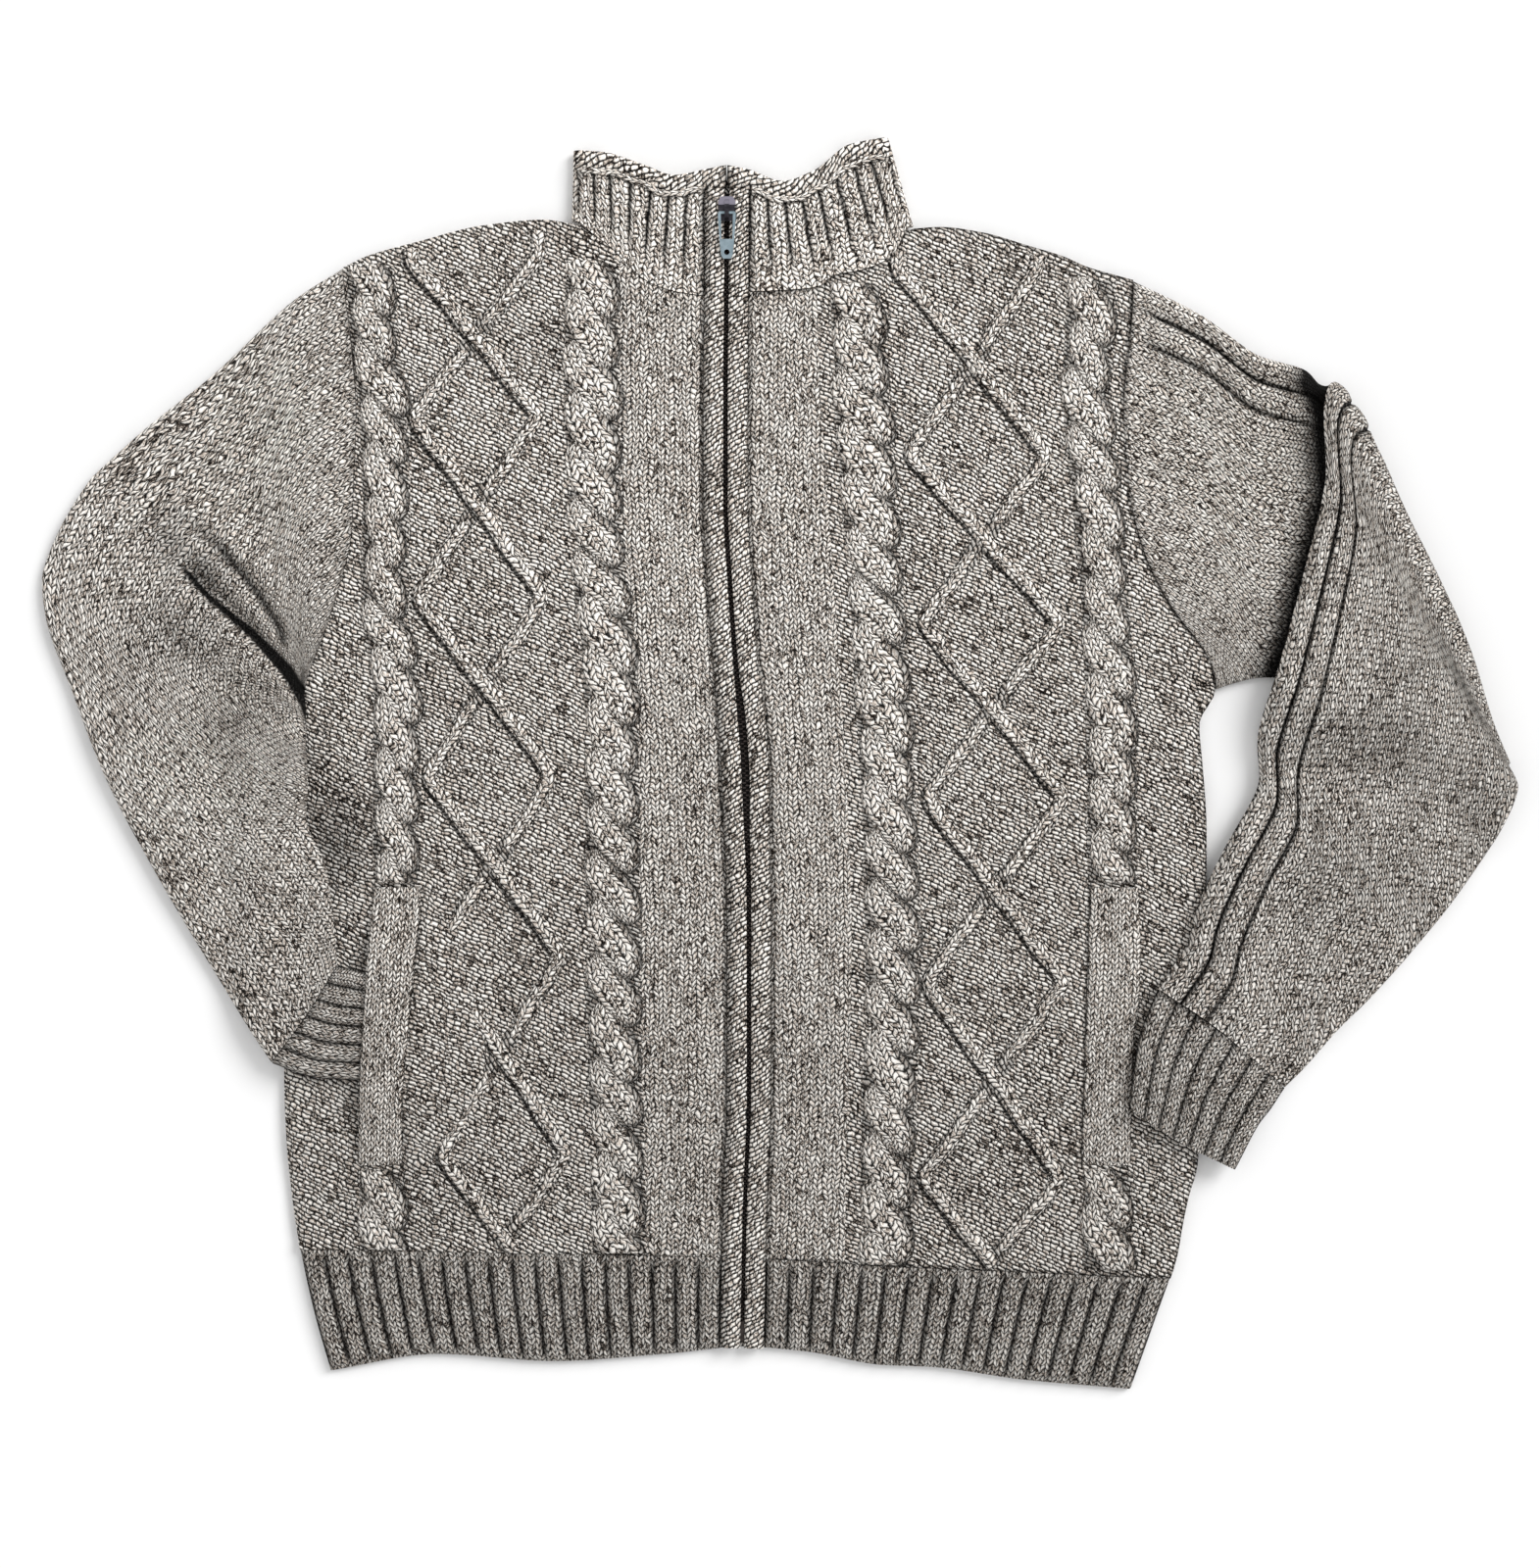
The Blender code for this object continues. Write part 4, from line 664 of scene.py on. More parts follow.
def growAlong(name, line, piece, spacing, size, finish, jitter=0.0, seed=1, rounding=0):
    # the line is an array of points in millimetres
    mesh = bpy.data.meshes.new(name)
    mesh.from_pydata((line * mm).tolist(), [(k, k + 1) for k in range(len(line) - 1)], [])
    host = putIn(name + "Host", mesh)
    grow = host.modifiers.new("grow", "NODES")
    grow.node_group = copiesAlongLine
    wanted = {"Piece": piece, "Spacing": spacing * mm, "Size": size, "Jitter": jitter, "Seed": seed,
              "Finish": finish, "Rounding": rounding}
    for item in copiesAlongLine.interface.items_tree:
        if item.in_out == "INPUT" and item.name in wanted:
            grow[item.identifier] = wanted[item.name]
    graph = bpy.context.evaluated_depsgraph_get()
    result = bpy.data.meshes.new_from_object(host.evaluated_get(graph))
    bpy.data.objects.remove(host)
    result.name = name
    return putIn(name, result)


copiesAlongLine = alongTree()
ropeLobe = lobeShape()


def onFront(x, y):
    # points that lie on a front's top
    return np.stack([x, y, heights["frontTop"] + ripple(x, y)], axis=1)


def holdInside(made, side, low, high):
    # a lobe that passes the end of its rope is cut off there, as the seam cuts it
    spots = np.empty(len(made.data.vertices) * 3, np.float32)
    made.data.vertices.foreach_get("co", spots)
    spots = spots.reshape(-1, 3).astype(float) / mm
    y = spots[:, 1]
    ceiling = np.minimum(high, frontTopLine(side, spots[:, 0]) - 1.5)
    ground = np.maximum(low, along(ribLine, spots[:, 0]) + 0.6)
    past = np.maximum(y - ceiling, ground - y)
    spots[:, 1] = np.clip(y, ground, ceiling)
    spots[:, 2] = np.where(past > 0, np.minimum(spots[:, 2], heights["frontTop"] + 0.6), spots[:, 2])
    rim = along(sideEdge[side], spots[:, 1]) + toward[side] * 1.5
    spots[:, 0] = np.maximum(spots[:, 0], rim) if side == "left" else np.minimum(spots[:, 0], rim)
    made.data.vertices.foreach_set("co", (spots * mm).astype(np.float32).ravel())


# The ground under a rope: share across, height, shade
ropeBed = ((-1, -0.1, 0.1), (-0.93, 0.5, 0.55), (0, 0.65, 0.6), (0.93, 0.5, 0.3), (1, -0.1, 0), (0.9, -1, 0),
           (-0.9, -1, 0))


def makeRopes(side):
    made = []
    beds = Cloth()
    pitch = lobeLook["pitch"]
    ring = [row[:2] for row in ropeBed]
    shade = [row[2] for row in ropeBed]
    for k, (width, first, rows) in enumerate(ropeLook[side]):
        foot, top = rows[-1][0], rows[0][0]
        count = int((first - foot + 12) // pitch)
        y = first - np.arange(0, count * 10 + 1) * pitch / 10
        rope = growAlong(f"rope{side.title()}{k}", onFront(along(rows, y), y), ropeLobe, pitch,
                         (width / 31, 1.0, 1.0), woolBody, 0.09, 3 + k, 1)
        holdInside(rope, side, foot, top)
        made.append(rope)
        y = np.linspace(foot + 0.5, min(top, float(frontTopLine(side, rows[0][1]))) - 2, 120)
        path = onFront(along(rows, y), y)
        across = np.tile((1.0, 0.0), (len(path), 1))
        beds.sweep(path, across, np.full(len(path), width / 2 + 0.9), ring, 3, 3.3, 1.0, shade)
    made.append(beds.make(f"ropeBeds{side.title()}", woolBody))
    return made


diamondLook = {
    "left": {"corners": (318, 299, 206, 99, -7.5, -112.5, -231, -333), "half": 37.5,
             "middle": ((318, -180), (251, -179.5), (146, -177.8), (44.7, -173.7), (-61.5, -167),
                        (-170.5, -163.9), (-280, -160.4))},
    "right": {"corners": (306, 292, 183, 83.5, -20, -129, -245, -345), "half": 41.0,
              "middle": ((306, 112), (235.5, 115), (128, 122.5), (29, 129), (-79.5, 128), (-187, 129),
                         (-297, 124))},
    "down": 4.6, "up": 4.3, "high": 2.2,
}


def ridgeLine(side, turn):
    # a zigzag's path, how much it runs from upper left to lower right, and its direction across
    look = diamondLook[side]
    corners = [(y, float(along(look["middle"], y)) + turn * (-1) ** k * look["half"])
               for k, y in enumerate(look["corners"][1:])]
    keys, values = np.array(sorted(corners)).T
    foot = float(along(ribLine, look["middle"][-1][1])) + 2.0
    y = np.arange(foot, float(frontTopLine(side, look["middle"][0][1])) - 2, 1.5)
    x = np.interp(y, keys, values)
    soft = np.ones(7) / 7
    x[3:-3] = np.convolve(x, soft, "valid")
    down = np.convolve(np.pad((np.gradient(x, y) < 0) * 1.0, 3, mode="edge"), soft, "valid")
    cross = bell(x - along(look["middle"], y), 7.5)
    lift = down * 0.8 * cross - (1 - down) * 2.4 * cross
    across = acrossPath(np.stack([x, y], axis=1))
    x = x + 0.5 * np.sin(y / 5.3) + 0.4 * np.sin(y / 11.7 + turn)
    shown = (y < frontTopLine(side, x) - 3.5) & (y > along(ribLine, x) + 2.5)
    path = onFront(x, y)
    path[:, 2] += lift
    return path[shown], down[shown], across[shown]


# The ground beside a ridge: share across, height, shade where it runs down to the right, and up
ridgeBed = ((-1, -0.2, 0.1, 0.1), (-0.8, 0.45, 0.9, 0.6), (0, 0.5, 0.9, 0.3), (0.8, 0.45, 0.3, 0.6),
            (1, -0.2, 0.1, 0.1), (0.8, -1, 0, 0), (-0.8, -1, 0, 0))


def makeRidges(side):
    cloth = Cloth()
    look = diamondLook
    ring = dome(9, look["high"], 1.1, 0.5, ((0.6, -1.6), (-0.6, -1.6)))
    # painted shade along the ridge's edges, most on the left, and underneath
    dark = [0.7, 0.3, 0, 0, 0, 0, 0, 0, 0.25, 1, 1]
    bed = np.array(ridgeBed)
    for way in (-1, 1):
        path, down, across = ridgeLine(side, way)
        wide = look["up"] + down * (look["down"] - look["up"])
        cloth.sweep(path, across, wide, ring, 0.75, 3.6, 0.0, dark, 0.5)
        low = onFront(path[:, 0], path[:, 1])
        low[:, :2] -= across * (1.5 * down)[:, None]
        shade = down[:, None] * bed[:, 2] + (1 - down)[:, None] * bed[:, 3]
        cloth.sweep(low, across, wide + 0.4 + 0.6 * (1 - down), bed[:, :2], 1.0, 3.4, 1.0, shade)
    return cloth.make(f"diamonds{side.title()}", woolBody)


for side in ("left", "right"):
    raised = [*makeRopes(side), makeRidges(side)]
    knit, area = makeFront(side)
    for extra in raised:
        declare(extra, ())
    declare(knit, [f"front_{side}"])
print("fronts made")


def makeBack():
    shares = np.linspace(0, 1, 90)
    rows = np.linspace(0, 1, 100)[:, None]
    y = np.zeros((100, 90))
    for _ in range(12):
        left, right = along(sideEdge["left"], y), along(sideEdge["right"], y)
        x = left + shares * (right - left)
        top = np.where(x > 77, along(shoulderLine["right"], x), along(backNeck, x))
        top = np.where(x < -119, along(shoulderLine["left"], x), top)
        y = along(ribLine, x) + rows * (top - along(ribLine, x))
    edge = np.minimum.reduce([x - left, right - x, y - along(ribLine, x), top - y])
    upper = layer(x, y, heights["back"] - 1.2 * (1 - easeStep(0, 4, edge)))
    under = layer(x, y, 0.35 * (1 - easeStep(0, 3, edge)))
    cloth = Cloth()
    cloth.shell(upper, under, np.stack([x / gauge["wide"], y / gauge["tall"]], axis=-1), 0.0)
    made = cloth.make("backKnit", woolBody)
    declare(made, ["back"])


hemLook = {"pitch": 14.0, "perRib": 12, "rows": 22, "depth": 2.6, "wales": 3, "groove": 0.17,
           "ribFoot": 0.06 / 0.98, "backRibs": 34, "backRows": 14, "middle": -320.0}


def offGroove(phase):
    return np.abs(phase - np.round(phase))


def ribProfile(phase, grooveHalf):
    # 0 in the groove, 1 on the rib, with a faint valley between its two wales
    away = offGroove(phase)
    return easeStep(0.02, grooveHalf * 1.6, away) * (1 - 0.12 * bell(away - 0.5, 0.06))


def hemGrid(columns, rowCount, startOf, endOf):
    # from the hem's edge up to the line where the rib starts
    share = np.linspace(0, 1, columns + 1)[None, :]
    rows = np.linspace(0, 1, rowCount + 1)[:, None]
    y = np.full((rowCount + 1, columns + 1), hemLook["middle"])
    for _ in range(10):
        start, end = startOf(y), endOf(y)
        x = start + share * (end - start)
        top, foot = along(ribLine, x) - heights["seam"], along(hemEdge, x)
        y = foot + rows * (top - foot)
    return share, rows, x, y, start, end, top, foot


def makeHem(side):
    startX = zipEdge(side, -293.0)
    ribs = int(round(abs(along(sideEdge[side], -305.0) - startX) / hemLook["pitch"]))
    share, rows, x, y, start, _, top, foot = hemGrid(
        ribs * hemLook["perRib"], hemLook["rows"], lambda y: zipEdge(side, y),
        lambda y: along(sideEdge[side], y))
    edge = np.minimum.reduce([np.abs(x - start), np.abs(x - along(sideEdge[side], y)), y - foot])
    drop = 2.0 * (1 - easeStep(0, 4.5, edge)) + 0.3 * (1 - easeStep(0, 3, top - y))
    phase = share * ribs
    wales = phase * hemLook["wales"]
    rib = ribProfile(phase, hemLook["groove"]) * easeStep(0.0, hemLook["ribFoot"], rows)
    knobs = 0.7 * np.sin(wales * np.pi) ** 2 * bell(y - foot - 3, 3.0)
    z = heights["frontTop"] - 1.4 + hemLook["depth"] * rib + 0.3 * ripple(x, y) - drop + knobs
    # painted shade in the rib grooves and beside the zip band
    gap = 0.97 * (1 - easeStep(0.04, 0.16, offGroove(phase))) * easeStep(0, 0.1, rows)
    gap = np.maximum(gap * easeStep(-2, 9, top - y), 0.4 * (1 - easeStep(0.3, 2.5, np.abs(x - start))))
    cloth = Cloth()
    cloth.shell(layer(x, y, z), layer(x, y, heights["frontLow"]),
                np.stack([wales + 0 * y, y / gauge["tall"]], axis=-1), 0.0, gap=gap)
    made = cloth.make(f"hem{side.title()}Knit", woolHem)
    declare(made, [f"hem_front_{side}"])


def makeBackHem():
    ribs = hemLook["backRibs"]
    share, rows, x, y, left, right, top, foot = hemGrid(
        ribs * 10, hemLook["backRows"], lambda y: along(sideEdge["left"], y),
        lambda y: along(sideEdge["right"], y))
    phase = share * ribs + 0 * y
    rib = ribProfile(phase, hemLook["groove"])
    edge = np.minimum.reduce([x - left, right - x, y - foot, top - y])
    upper = layer(x, y, heights["back"] - 1.2 * (1 - easeStep(0, 4, edge)))
    under = layer(x, y, 1.0 - rib * easeStep(0, 3, edge))
    cloth = Cloth()
    cloth.shell(upper, under, np.stack([phase * hemLook["wales"], y / gauge["tall"]], axis=-1),
                np.where(rib < 0.4, 1.0, 0.0))
    made = cloth.make("hemBackKnit", woolRib)
    declare(made, ["hem_back"])


makeBack()
makeBackHem()
for side in ("left", "right"):
    makeHem(side)
print("back and hems made")

weltLook = {"rows": 66, "columns": 15, "thick": 2.6, "wales": 7, "low": 4.9, "step": 2.7,
            "up": {"left": 9.0, "right": 0.0}}


def makeWelt(side):
    look = weltLook
    y = np.linspace(heights["pocketTop"] - 0.3, heights["pocketFoot"] + 0.3, look["rows"])[:, None]
    share = np.linspace(0, 1, look["columns"])[None, :]
    start = along(pocketSeam[side], y) - toward[side] * heights["seam"]
    end = along(pocketMouth[side], y)
    wide = np.abs(end - start)
    base = look["low"] + pocketUp(y) * look["up"][side]
    base = base + look["step"] * easeStep(0, 1, share * wide / (wide - heights["weltLap"] - 4))
    endDrop = 1.2 * (1 - easeStep(0, 3, np.minimum(heights["pocketTop"] - y, y - heights["pocketFoot"])))
    edge = 1.4 * (1 - easeStep(0, 3, np.minimum(share * wide, (1 - share) * wide)))
    wales = share * look["wales"]
    swell = 0.35 * np.abs(np.sin(wales * np.pi)) ** 0.6 - 0.3
    x = start + share * (end - start)
    stitch = np.stack(np.broadcast_arrays(wales, y / gauge["tall"]), axis=-1)
    cloth = Cloth()
    cloth.shell(layer(x, y, base + look["thick"] + swell - edge - endDrop), layer(x, y, base), stitch, 0.0)
    made = cloth.make(f"welt{side.title()}Knit", woolBody)
    declare(made, [f"pocket_welt_{side}"])


def makeThin(name, x, y, finish):
    # a flat thin sheet between the back and a front
    upper = layer(x, y, heights["thinTop"])
    cloth = Cloth()
    cloth.shell(upper, layer(x, y, heights["thinLow"]), upper[..., :2] / 2, 0.0)
    return cloth.make(name, finish)


def makeLining(side):
    y = np.linspace(heights["pocketTop"] + 1, heights["pocketFoot"] - 7, 30)[:, None]
    inner = along(pocketSeam[side], y) + toward[side] * heights["pocketDepth"]
    outer = along(pocketMouth[side], y) - toward[side] * 12
    made = makeThin(f"lining{side.title()}Jersey", outer + np.linspace(0, 1, 26) * (inner - outer), y, jersey)
    declare(made, [f"pocket_lining_{side}"])


for side in ("left", "right"):
    makeWelt(side)
    makeLining(side)
print("pockets made")

# The rim seam's share of the way round, X and Y, and the collar's sizes
collarLook = {
    "left": ((0.0, -43.9, 339.6), (0.25, -62, 336.5), (0.5, -80.9, 342.8), (0.75, -102.4, 350),
             (1.0, -117.5, 351)),
    "right": ((0.0, -16.7, 339.6), (0.25, 4, 333), (0.5, 24, 339.5), (0.75, 45, 354.8), (1.0, 65, 359)),
    "ribs": {"left": 7, "right": 8}, "perRib": 12, "ribHigh": 1.9, "inside": 4.2, "outside": 7.7,
    "levels": 26, "rimHigh": 12.0, "rimBulge": 3.6, "wall": 3.5, "zipEnds": (-30.5, -29.9),
    "rimFoot": 341.0, "rimTop": 354.3, "rimRows": 15,
}


def collarPlaces(side, shares):
    neck = smoothPath(frontNeck[side][::-1], 2)
    length = pathLength(neck)
    at = (0.005 + 0.985 * shares) * length[-1]
    seam = [np.interp(at, length, neck[:, 0]),
            np.interp(at, length, neck[:, 1]) + 0.6 + 2.2 * easeStep(0.85, 1, shares)]
    rim = [along([(row[0], row[k]) for row in collarLook[side]], shares) for k in (1, 2)]
    return np.stack(seam + rim, axis=1)


def collarSide(side):
    # one front of the collar and the turn of its fold
    outside, ribs = collarLook["outside"], collarLook["ribs"][side]
    shares = np.linspace(0, 0.985, ribs * collarLook["perRib"] + 1)
    rest = np.zeros((len(shares), 5))
    rest[:, 0], rest[:, 1], rest[:, 4] = outside, collarLook["inside"], shares * ribs
    front = np.hstack([collarPlaces(side, shares), rest])
    turn = np.linspace(0, np.pi, 12)[1:-1]
    edge = np.repeat(collarPlaces(side, np.array([1.0])), len(turn), axis=0)
    radius, inner = outside / 2, outside / 2 - collarLook["wall"]
    fold = [radius * (1 + np.cos(turn)), radius + inner * np.cos(turn), -toward[side] * radius * np.sin(turn),
            -toward[side] * inner * np.sin(turn), ribs + turn * 0.3]
    return np.vstack([front, np.hstack([edge, np.stack(fold, axis=1)])])


def collarStations():
    # columns: neck X, Y, rim seam X, Y, outer height, inner height, outer reach, inner reach, rib phase
    left, right = (collarPlaces(side, np.array([1.0]))[0] for side in ("left", "right"))
    share = np.linspace(0, 1, 60)
    x = left[0] + share * (right[0] - left[0])
    rimX = left[2] + share * (right[2] - left[2])
    rows = [(row[1], row[2]) for side in ("left", "right") for row in collarLook[side] if 0 < row[0]]
    back = np.stack([x, along(backNeck, x) + 0.6, rimX, along(rows, rimX), 0 * x, 0 * x + collarLook["wall"],
                     0 * x, 0 * x, 7.9 + share * 16], axis=1)
    return np.vstack([collarSide("left"), back, collarSide("right")[::-1]])


def collarFace(plan, reach, high):
    # one face of the collar or the rim, moved sideways where the cloth turns over
    moved = plan + reach[:, None, None] * np.array((1.0, 0.0))
    return np.concatenate([moved, high[..., None]], axis=-1)


def makeCollar(stations):
    level = np.linspace(0, 1, collarLook["levels"] + 1)[None, :]
    neck, rim = stations[:, None, 0:2], stations[:, None, 2:4]
    plan = neck + (rim - neck) * level[..., None]
    phase = stations[:, 8:9]
    rib = ribProfile(phase, 0.2)
    ends = easeStep(0, 0.45, level) * easeStep(1, 0.95, level)
    bow = np.sin(np.pi * level) * 0.8
    isFront = (stations[:, 4] > 7.6)[:, None]
    high = stations[:, 4:5] + isFront * (collarLook["ribHigh"] * rib * ends - 0.5 + bow)
    under = (stations[:, 4:5] < 0.1) * (0.7 - 0.7 * rib * ends)
    outer = collarFace(plan, stations[:, 6], high + under)
    inner = collarFace(plan, stations[:, 7], stations[:, 5:6] + 0 * level)
    tall = np.linalg.norm(stations[:, 2:4] - stations[:, 0:2], axis=1)[:, None]
    stitch = np.stack([phase * 2 + 0 * level, tall * level / gauge["tall"]], axis=-1)
    # painted shade in the rib grooves and beside the zip bands
    gap = 0.95 * (1 - easeStep(0.03, 0.2, offGroove(phase))) * easeStep(0.05, 0.5, level)
    toBand = np.minimum.reduce([np.abs(stations[:, 2:3] - collarLook[side][0][1])
                                for side in ("left", "right")])
    gap = np.maximum(gap, 0.65 * isFront * (1 - easeStep(0.5, 4.0, toBand)))
    cloth = Cloth()
    cloth.shell(outer, inner, stitch, 0.0, gap=gap)
    made = cloth.make("collarKnit", woolRim)
    declare(made, ["collar"])


def rimEnd(outer, zipX, roll):
    # rows from a front's end of the rim to the zip, on the outer and on the inner face
    look = collarLook
    rows = []
    endY = np.linspace(look["rimFoot"], look["rimTop"], look["rimRows"])
    for share in np.linspace(0, 1, 9)[1:]:
        x = outer[0, 0] + share * (zipX - outer[0, 0])
        y = outer[:, 1] + share * (endY - outer[:, 1])
        lump = 5.6 * roll * (0.86 + 0.14 * math.cos(share * 7)) * (1 - 0.55 * max(0, share - 0.8) * 5)
        z = outer[:, 2] + min(1, share * 2) * (look["outside"] + lump - 0.7 - outer[:, 2])
        rows.append((layer(x, y, z), layer(x, y, look["inside"])))
    return np.moveaxis(np.array(rows), 1, 0)


def makeRimChain(side):
    # the chain of stitches that holds the roll down
    places = collarPlaces(side, np.linspace(0.02, 0.97, 70))
    wave = 0.5 * np.sin(np.arange(70) / 2.3) + 0.4 * np.sin(np.arange(70) / 5.1)
    path = layer(places[:, 2], places[:, 3] + 0.2 + wave, collarLook["outside"] + 1.6)
    ring = dome(7, 1.5, 1, 0, ((0.6, -1.2), (-0.6, -1.2)))
    cloth = Cloth()
    # painted shade along the chain's two sides and underneath
    cloth.sweep(path, acrossPath(path[:, :2]), np.full(70, 1.9), ring, 0.5, 4.2, 0.0,
                (0.6, 0, 0, 0, 0, 0, 0.6, 1, 1), 0.5)
    return declare(cloth.make(f"rimChain{side.title()}", woolRim), ())


def makeRim(stations):
    # the rolled top edge, which meets itself over the end of the zip
    passed = pathLength(stations[:, 2:4])[:, None]
    level = np.linspace(0, 1, collarLook["rimRows"])[None, :]
    lean = stations[:, 2:4] - stations[:, 0:2]
    lean /= np.linalg.norm(lean, axis=1)[:, None]
    plan = stations[:, None, 2:4] + lean[:, None] * (0.4 + (collarLook["rimHigh"] - 0.4) * level[..., None])
    roll = np.sin(np.pi * np.clip(level * 0.93 + 0.05, 0, 1)) ** 0.65
    lumps = 0.5 * np.sin(passed / 3.7) * np.sin(np.pi * level) + 0.35 * np.sin(passed / 8.3 + 1)
    isFront = (stations[:, 4] > 7.6)[:, None]
    high = stations[:, 4:5] + isFront * (collarLook["rimBulge"] * roll + lumps * roll - 0.7)
    outer = collarFace(plan, stations[:, 6], high)
    inner = collarFace(plan, stations[:, 7], stations[:, 5:6] + 0 * level)
    first = rimEnd(outer[0], collarLook["zipEnds"][0], roll[0])[:, ::-1]
    last = rimEnd(outer[-1], collarLook["zipEnds"][1], roll[0])
    outer, inner = (np.concatenate([first[k], face, last[k]]) for k, face in enumerate((outer, inner)))
    run = pathLength(outer[:, 7, :2])[:, None]
    stitch = np.stack([run / 5.6 + 0 * level, level * 2.9 + 0 * run], axis=-1)
    # painted shade at the rim's two ends, over the zip
    gap = np.zeros(outer.shape[:2])
    gap[0], gap[-1], gap[1], gap[-2] = 0.9, 0.9, 0.4, 0.4
    cloth = Cloth()
    cloth.shell(outer, inner, stitch, 1.0, gap=gap)
    made = cloth.make("collarRimKnit", woolRim)
    chains = [makeRimChain(side) for side in ("left", "right")]
    declare(made, ["collar_rim"])


collarRows = collarStations()
makeCollar(collarRows)
makeRim(collarRows)
print("collar made")

# The bands' gutter is where one side of each turns down and is darkened with painted shade, from and to a
# share across
bandLook = {"points": 13, "high": 2.9, "level": 7.2, "under": ((0.97, -2.2), (-0.45, -2.2), (-0.5, -0.1)),
            "gutter": {"left": (0.3, 0.62), "right": (0.75, 0.95)}, "shade": 0.4, "sink": 1.6}
toothLook = {"wide": 2.6, "long": 1.3, "high": 1.7, "pitch": 2.9, "bevel": 0.35, "level": 5.5, "off": 0.95}


def makeZipSide(side):
    look = bandLook
    y = np.linspace(340, -346, 230)
    flat = np.stack([along(zipLine, y), y], axis=1)
    right = -acrossPath(flat)
    half = heights["bandWidth"] / 2
    centre = flat - toward[side] * right * (along(slitHalf, y) + half)[:, None]
    path = np.column_stack([centre, look["level"] + (0.25 * np.sin(y / 5.2) + 0.2 * np.sin(y / 13.0 + 1))])
    ring = np.array(dome(look["points"], look["high"], 0.75, 0.3, look["under"]))
    shares = ring[:look["points"], 0]
    dark = look["shade"] * easeStep(*look["gutter"][side], shares)
    ring[:, 0] *= -toward[side]
    ring[:look["points"], 1] -= look["sink"] * dark
    cloth = Cloth()
    cloth.sweep(path, right, np.full(len(y), half), ring, 1.4, 3.5, 1.0, [*dark, 0.9, 0.9, 0.9])
    made = cloth.make(f"band{side.title()}Knit", woolRim)
    declare(made, [f"zip_band_{side}"])
    y = np.linspace(338, -343, 120)[:, None]
    places = -toward[side] * (0.15 + np.linspace(0, 1, 7) * 11.85)
    ribbon = makeThin(f"tape{side.title()}", along(zipLine, y) + places, y, tape)
    declare(ribbon, [f"zip_tape_{side}"])


def makeTeeth():
    look = toothLook
    shape = bmesh.new()
    bmesh.ops.create_cube(shape, size=1.0)
    for vert in shape.verts:
        vert.co = Vector((vert.co.x * look["wide"], vert.co.y * look["long"], vert.co.z * look["high"])) * mm
    bmesh.ops.bevel(shape, geom=list(shape.edges), offset=look["bevel"] * mm, segments=1, affect="EDGES")
    mesh = bpy.data.meshes.new("tooth")
    shape.to_mesh(mesh)
    shape.free()
    tooth = putIn("tooth", mesh)
    for k, sign in enumerate((-1, 1)):
        y = np.linspace(320 - k * look["pitch"] / 2, -329 - k * look["pitch"] / 2, 200)
        line = layer(along(zipLine, y) + sign * look["off"], y, look["level"])
        row = growAlong(f"teeth{k}", line, tooth, look["pitch"], (1, 1, 1), toothMetal)
        declare(row, [] if k else ["zip_chain"])
    bpy.data.objects.remove(tooth)


for side in ("left", "right"):
    makeZipSide(side)
makeTeeth()
print("zip made")

# Sleeve stations: outer edge X, Y, middle X, Y, inner edge X, Y, height
leftSleeve = (
    (-285.5, 275.8, -279, 162, -280.5, 43, 7.8), (-335, 230.2, -308, 139, -280.5, 42, 8.6),
    (-377, 196.6, -331, 121, -280.5, 41, 9.0), (-391, 184, -337.5, 117.5, -280.5, 39.5, 9.0),
    (-402, 174, -343.5, 110.5, -280, 38, 8.6), (-407, 169, -346.5, 107.5, -279.5, 33, 9.0),
    (-431, 127, -364.5, 75, -279, 26, 9.0), (-436.3, 108, -364.5, 61, -279, 19, 9.0),
    (-434.5, 89.5, -362, 49, -279, 12, 9.0), (-418.5, 43, -350, 18, -278, 2, 9.0),
    (-397, -12, -335.5, -15, -277.5, -15, 9.0), (-373, -57.5, -321, -50, -278.5, -33, 9.0),
    (-349, -99, -305, -82, -267, -61, 8.6), (-327.5, -134, -292, -112, -262.4, -90.5, 8.2),
    (-299, -176.7, -277, -147, -260.1, -119.5, 7.8),
)
leftCuff = (
    (-298.6, -177.1, -276.6, -147.3, -259.7, -119.8, 7.8), (-272, -186, -258, -152, -250, -121.5, 7.4),
    (-244.5, -187.3, -242.5, -155, -241, -123.5, 7.2), (-236.5, -187.2, -236, -155, -235.5, -123.8, 7.2),
    (-224.5, -186, -224.5, -155, -224.5, -124, 7.0),
)
rightUpperArm = ((250, 266.5, 254.3, 159, 272, 48, 8.0), (285, 242, 286, 147, 290, 51, 8.0),
                 (312.3, 233.5, 329.7, 138.6, 349, 42.5, 7.8))
forearm = (
    (322.2, 164.7, 375, 76.5, 436, -13.5, 7.8), (311.2, 118.3, 366.3, 40, 423.7, -46.4, 8.0),
    (297.3, 65.5, 351.8, -0.6, 408.6, -70.2, 8.2), (284.5, 20.3, 337.9, -36.5, 391.2, -93.4, 8.2),
    (283.3, -15.1, 327.4, -65.5, 372.7, -115.4, 8.2), (264.8, -48.1, 308.3, -93.4, 351.8, -138.6, 8.2),
    (248, -83.5, 290.9, -122.4, 329.7, -160.7, 8.0), (240, -110, 277.5, -142.7, 314.1, -178.6, 7.9),
    (224.2, -132.8, 263.6, -160.1, 300.7, -192, 7.8),
)
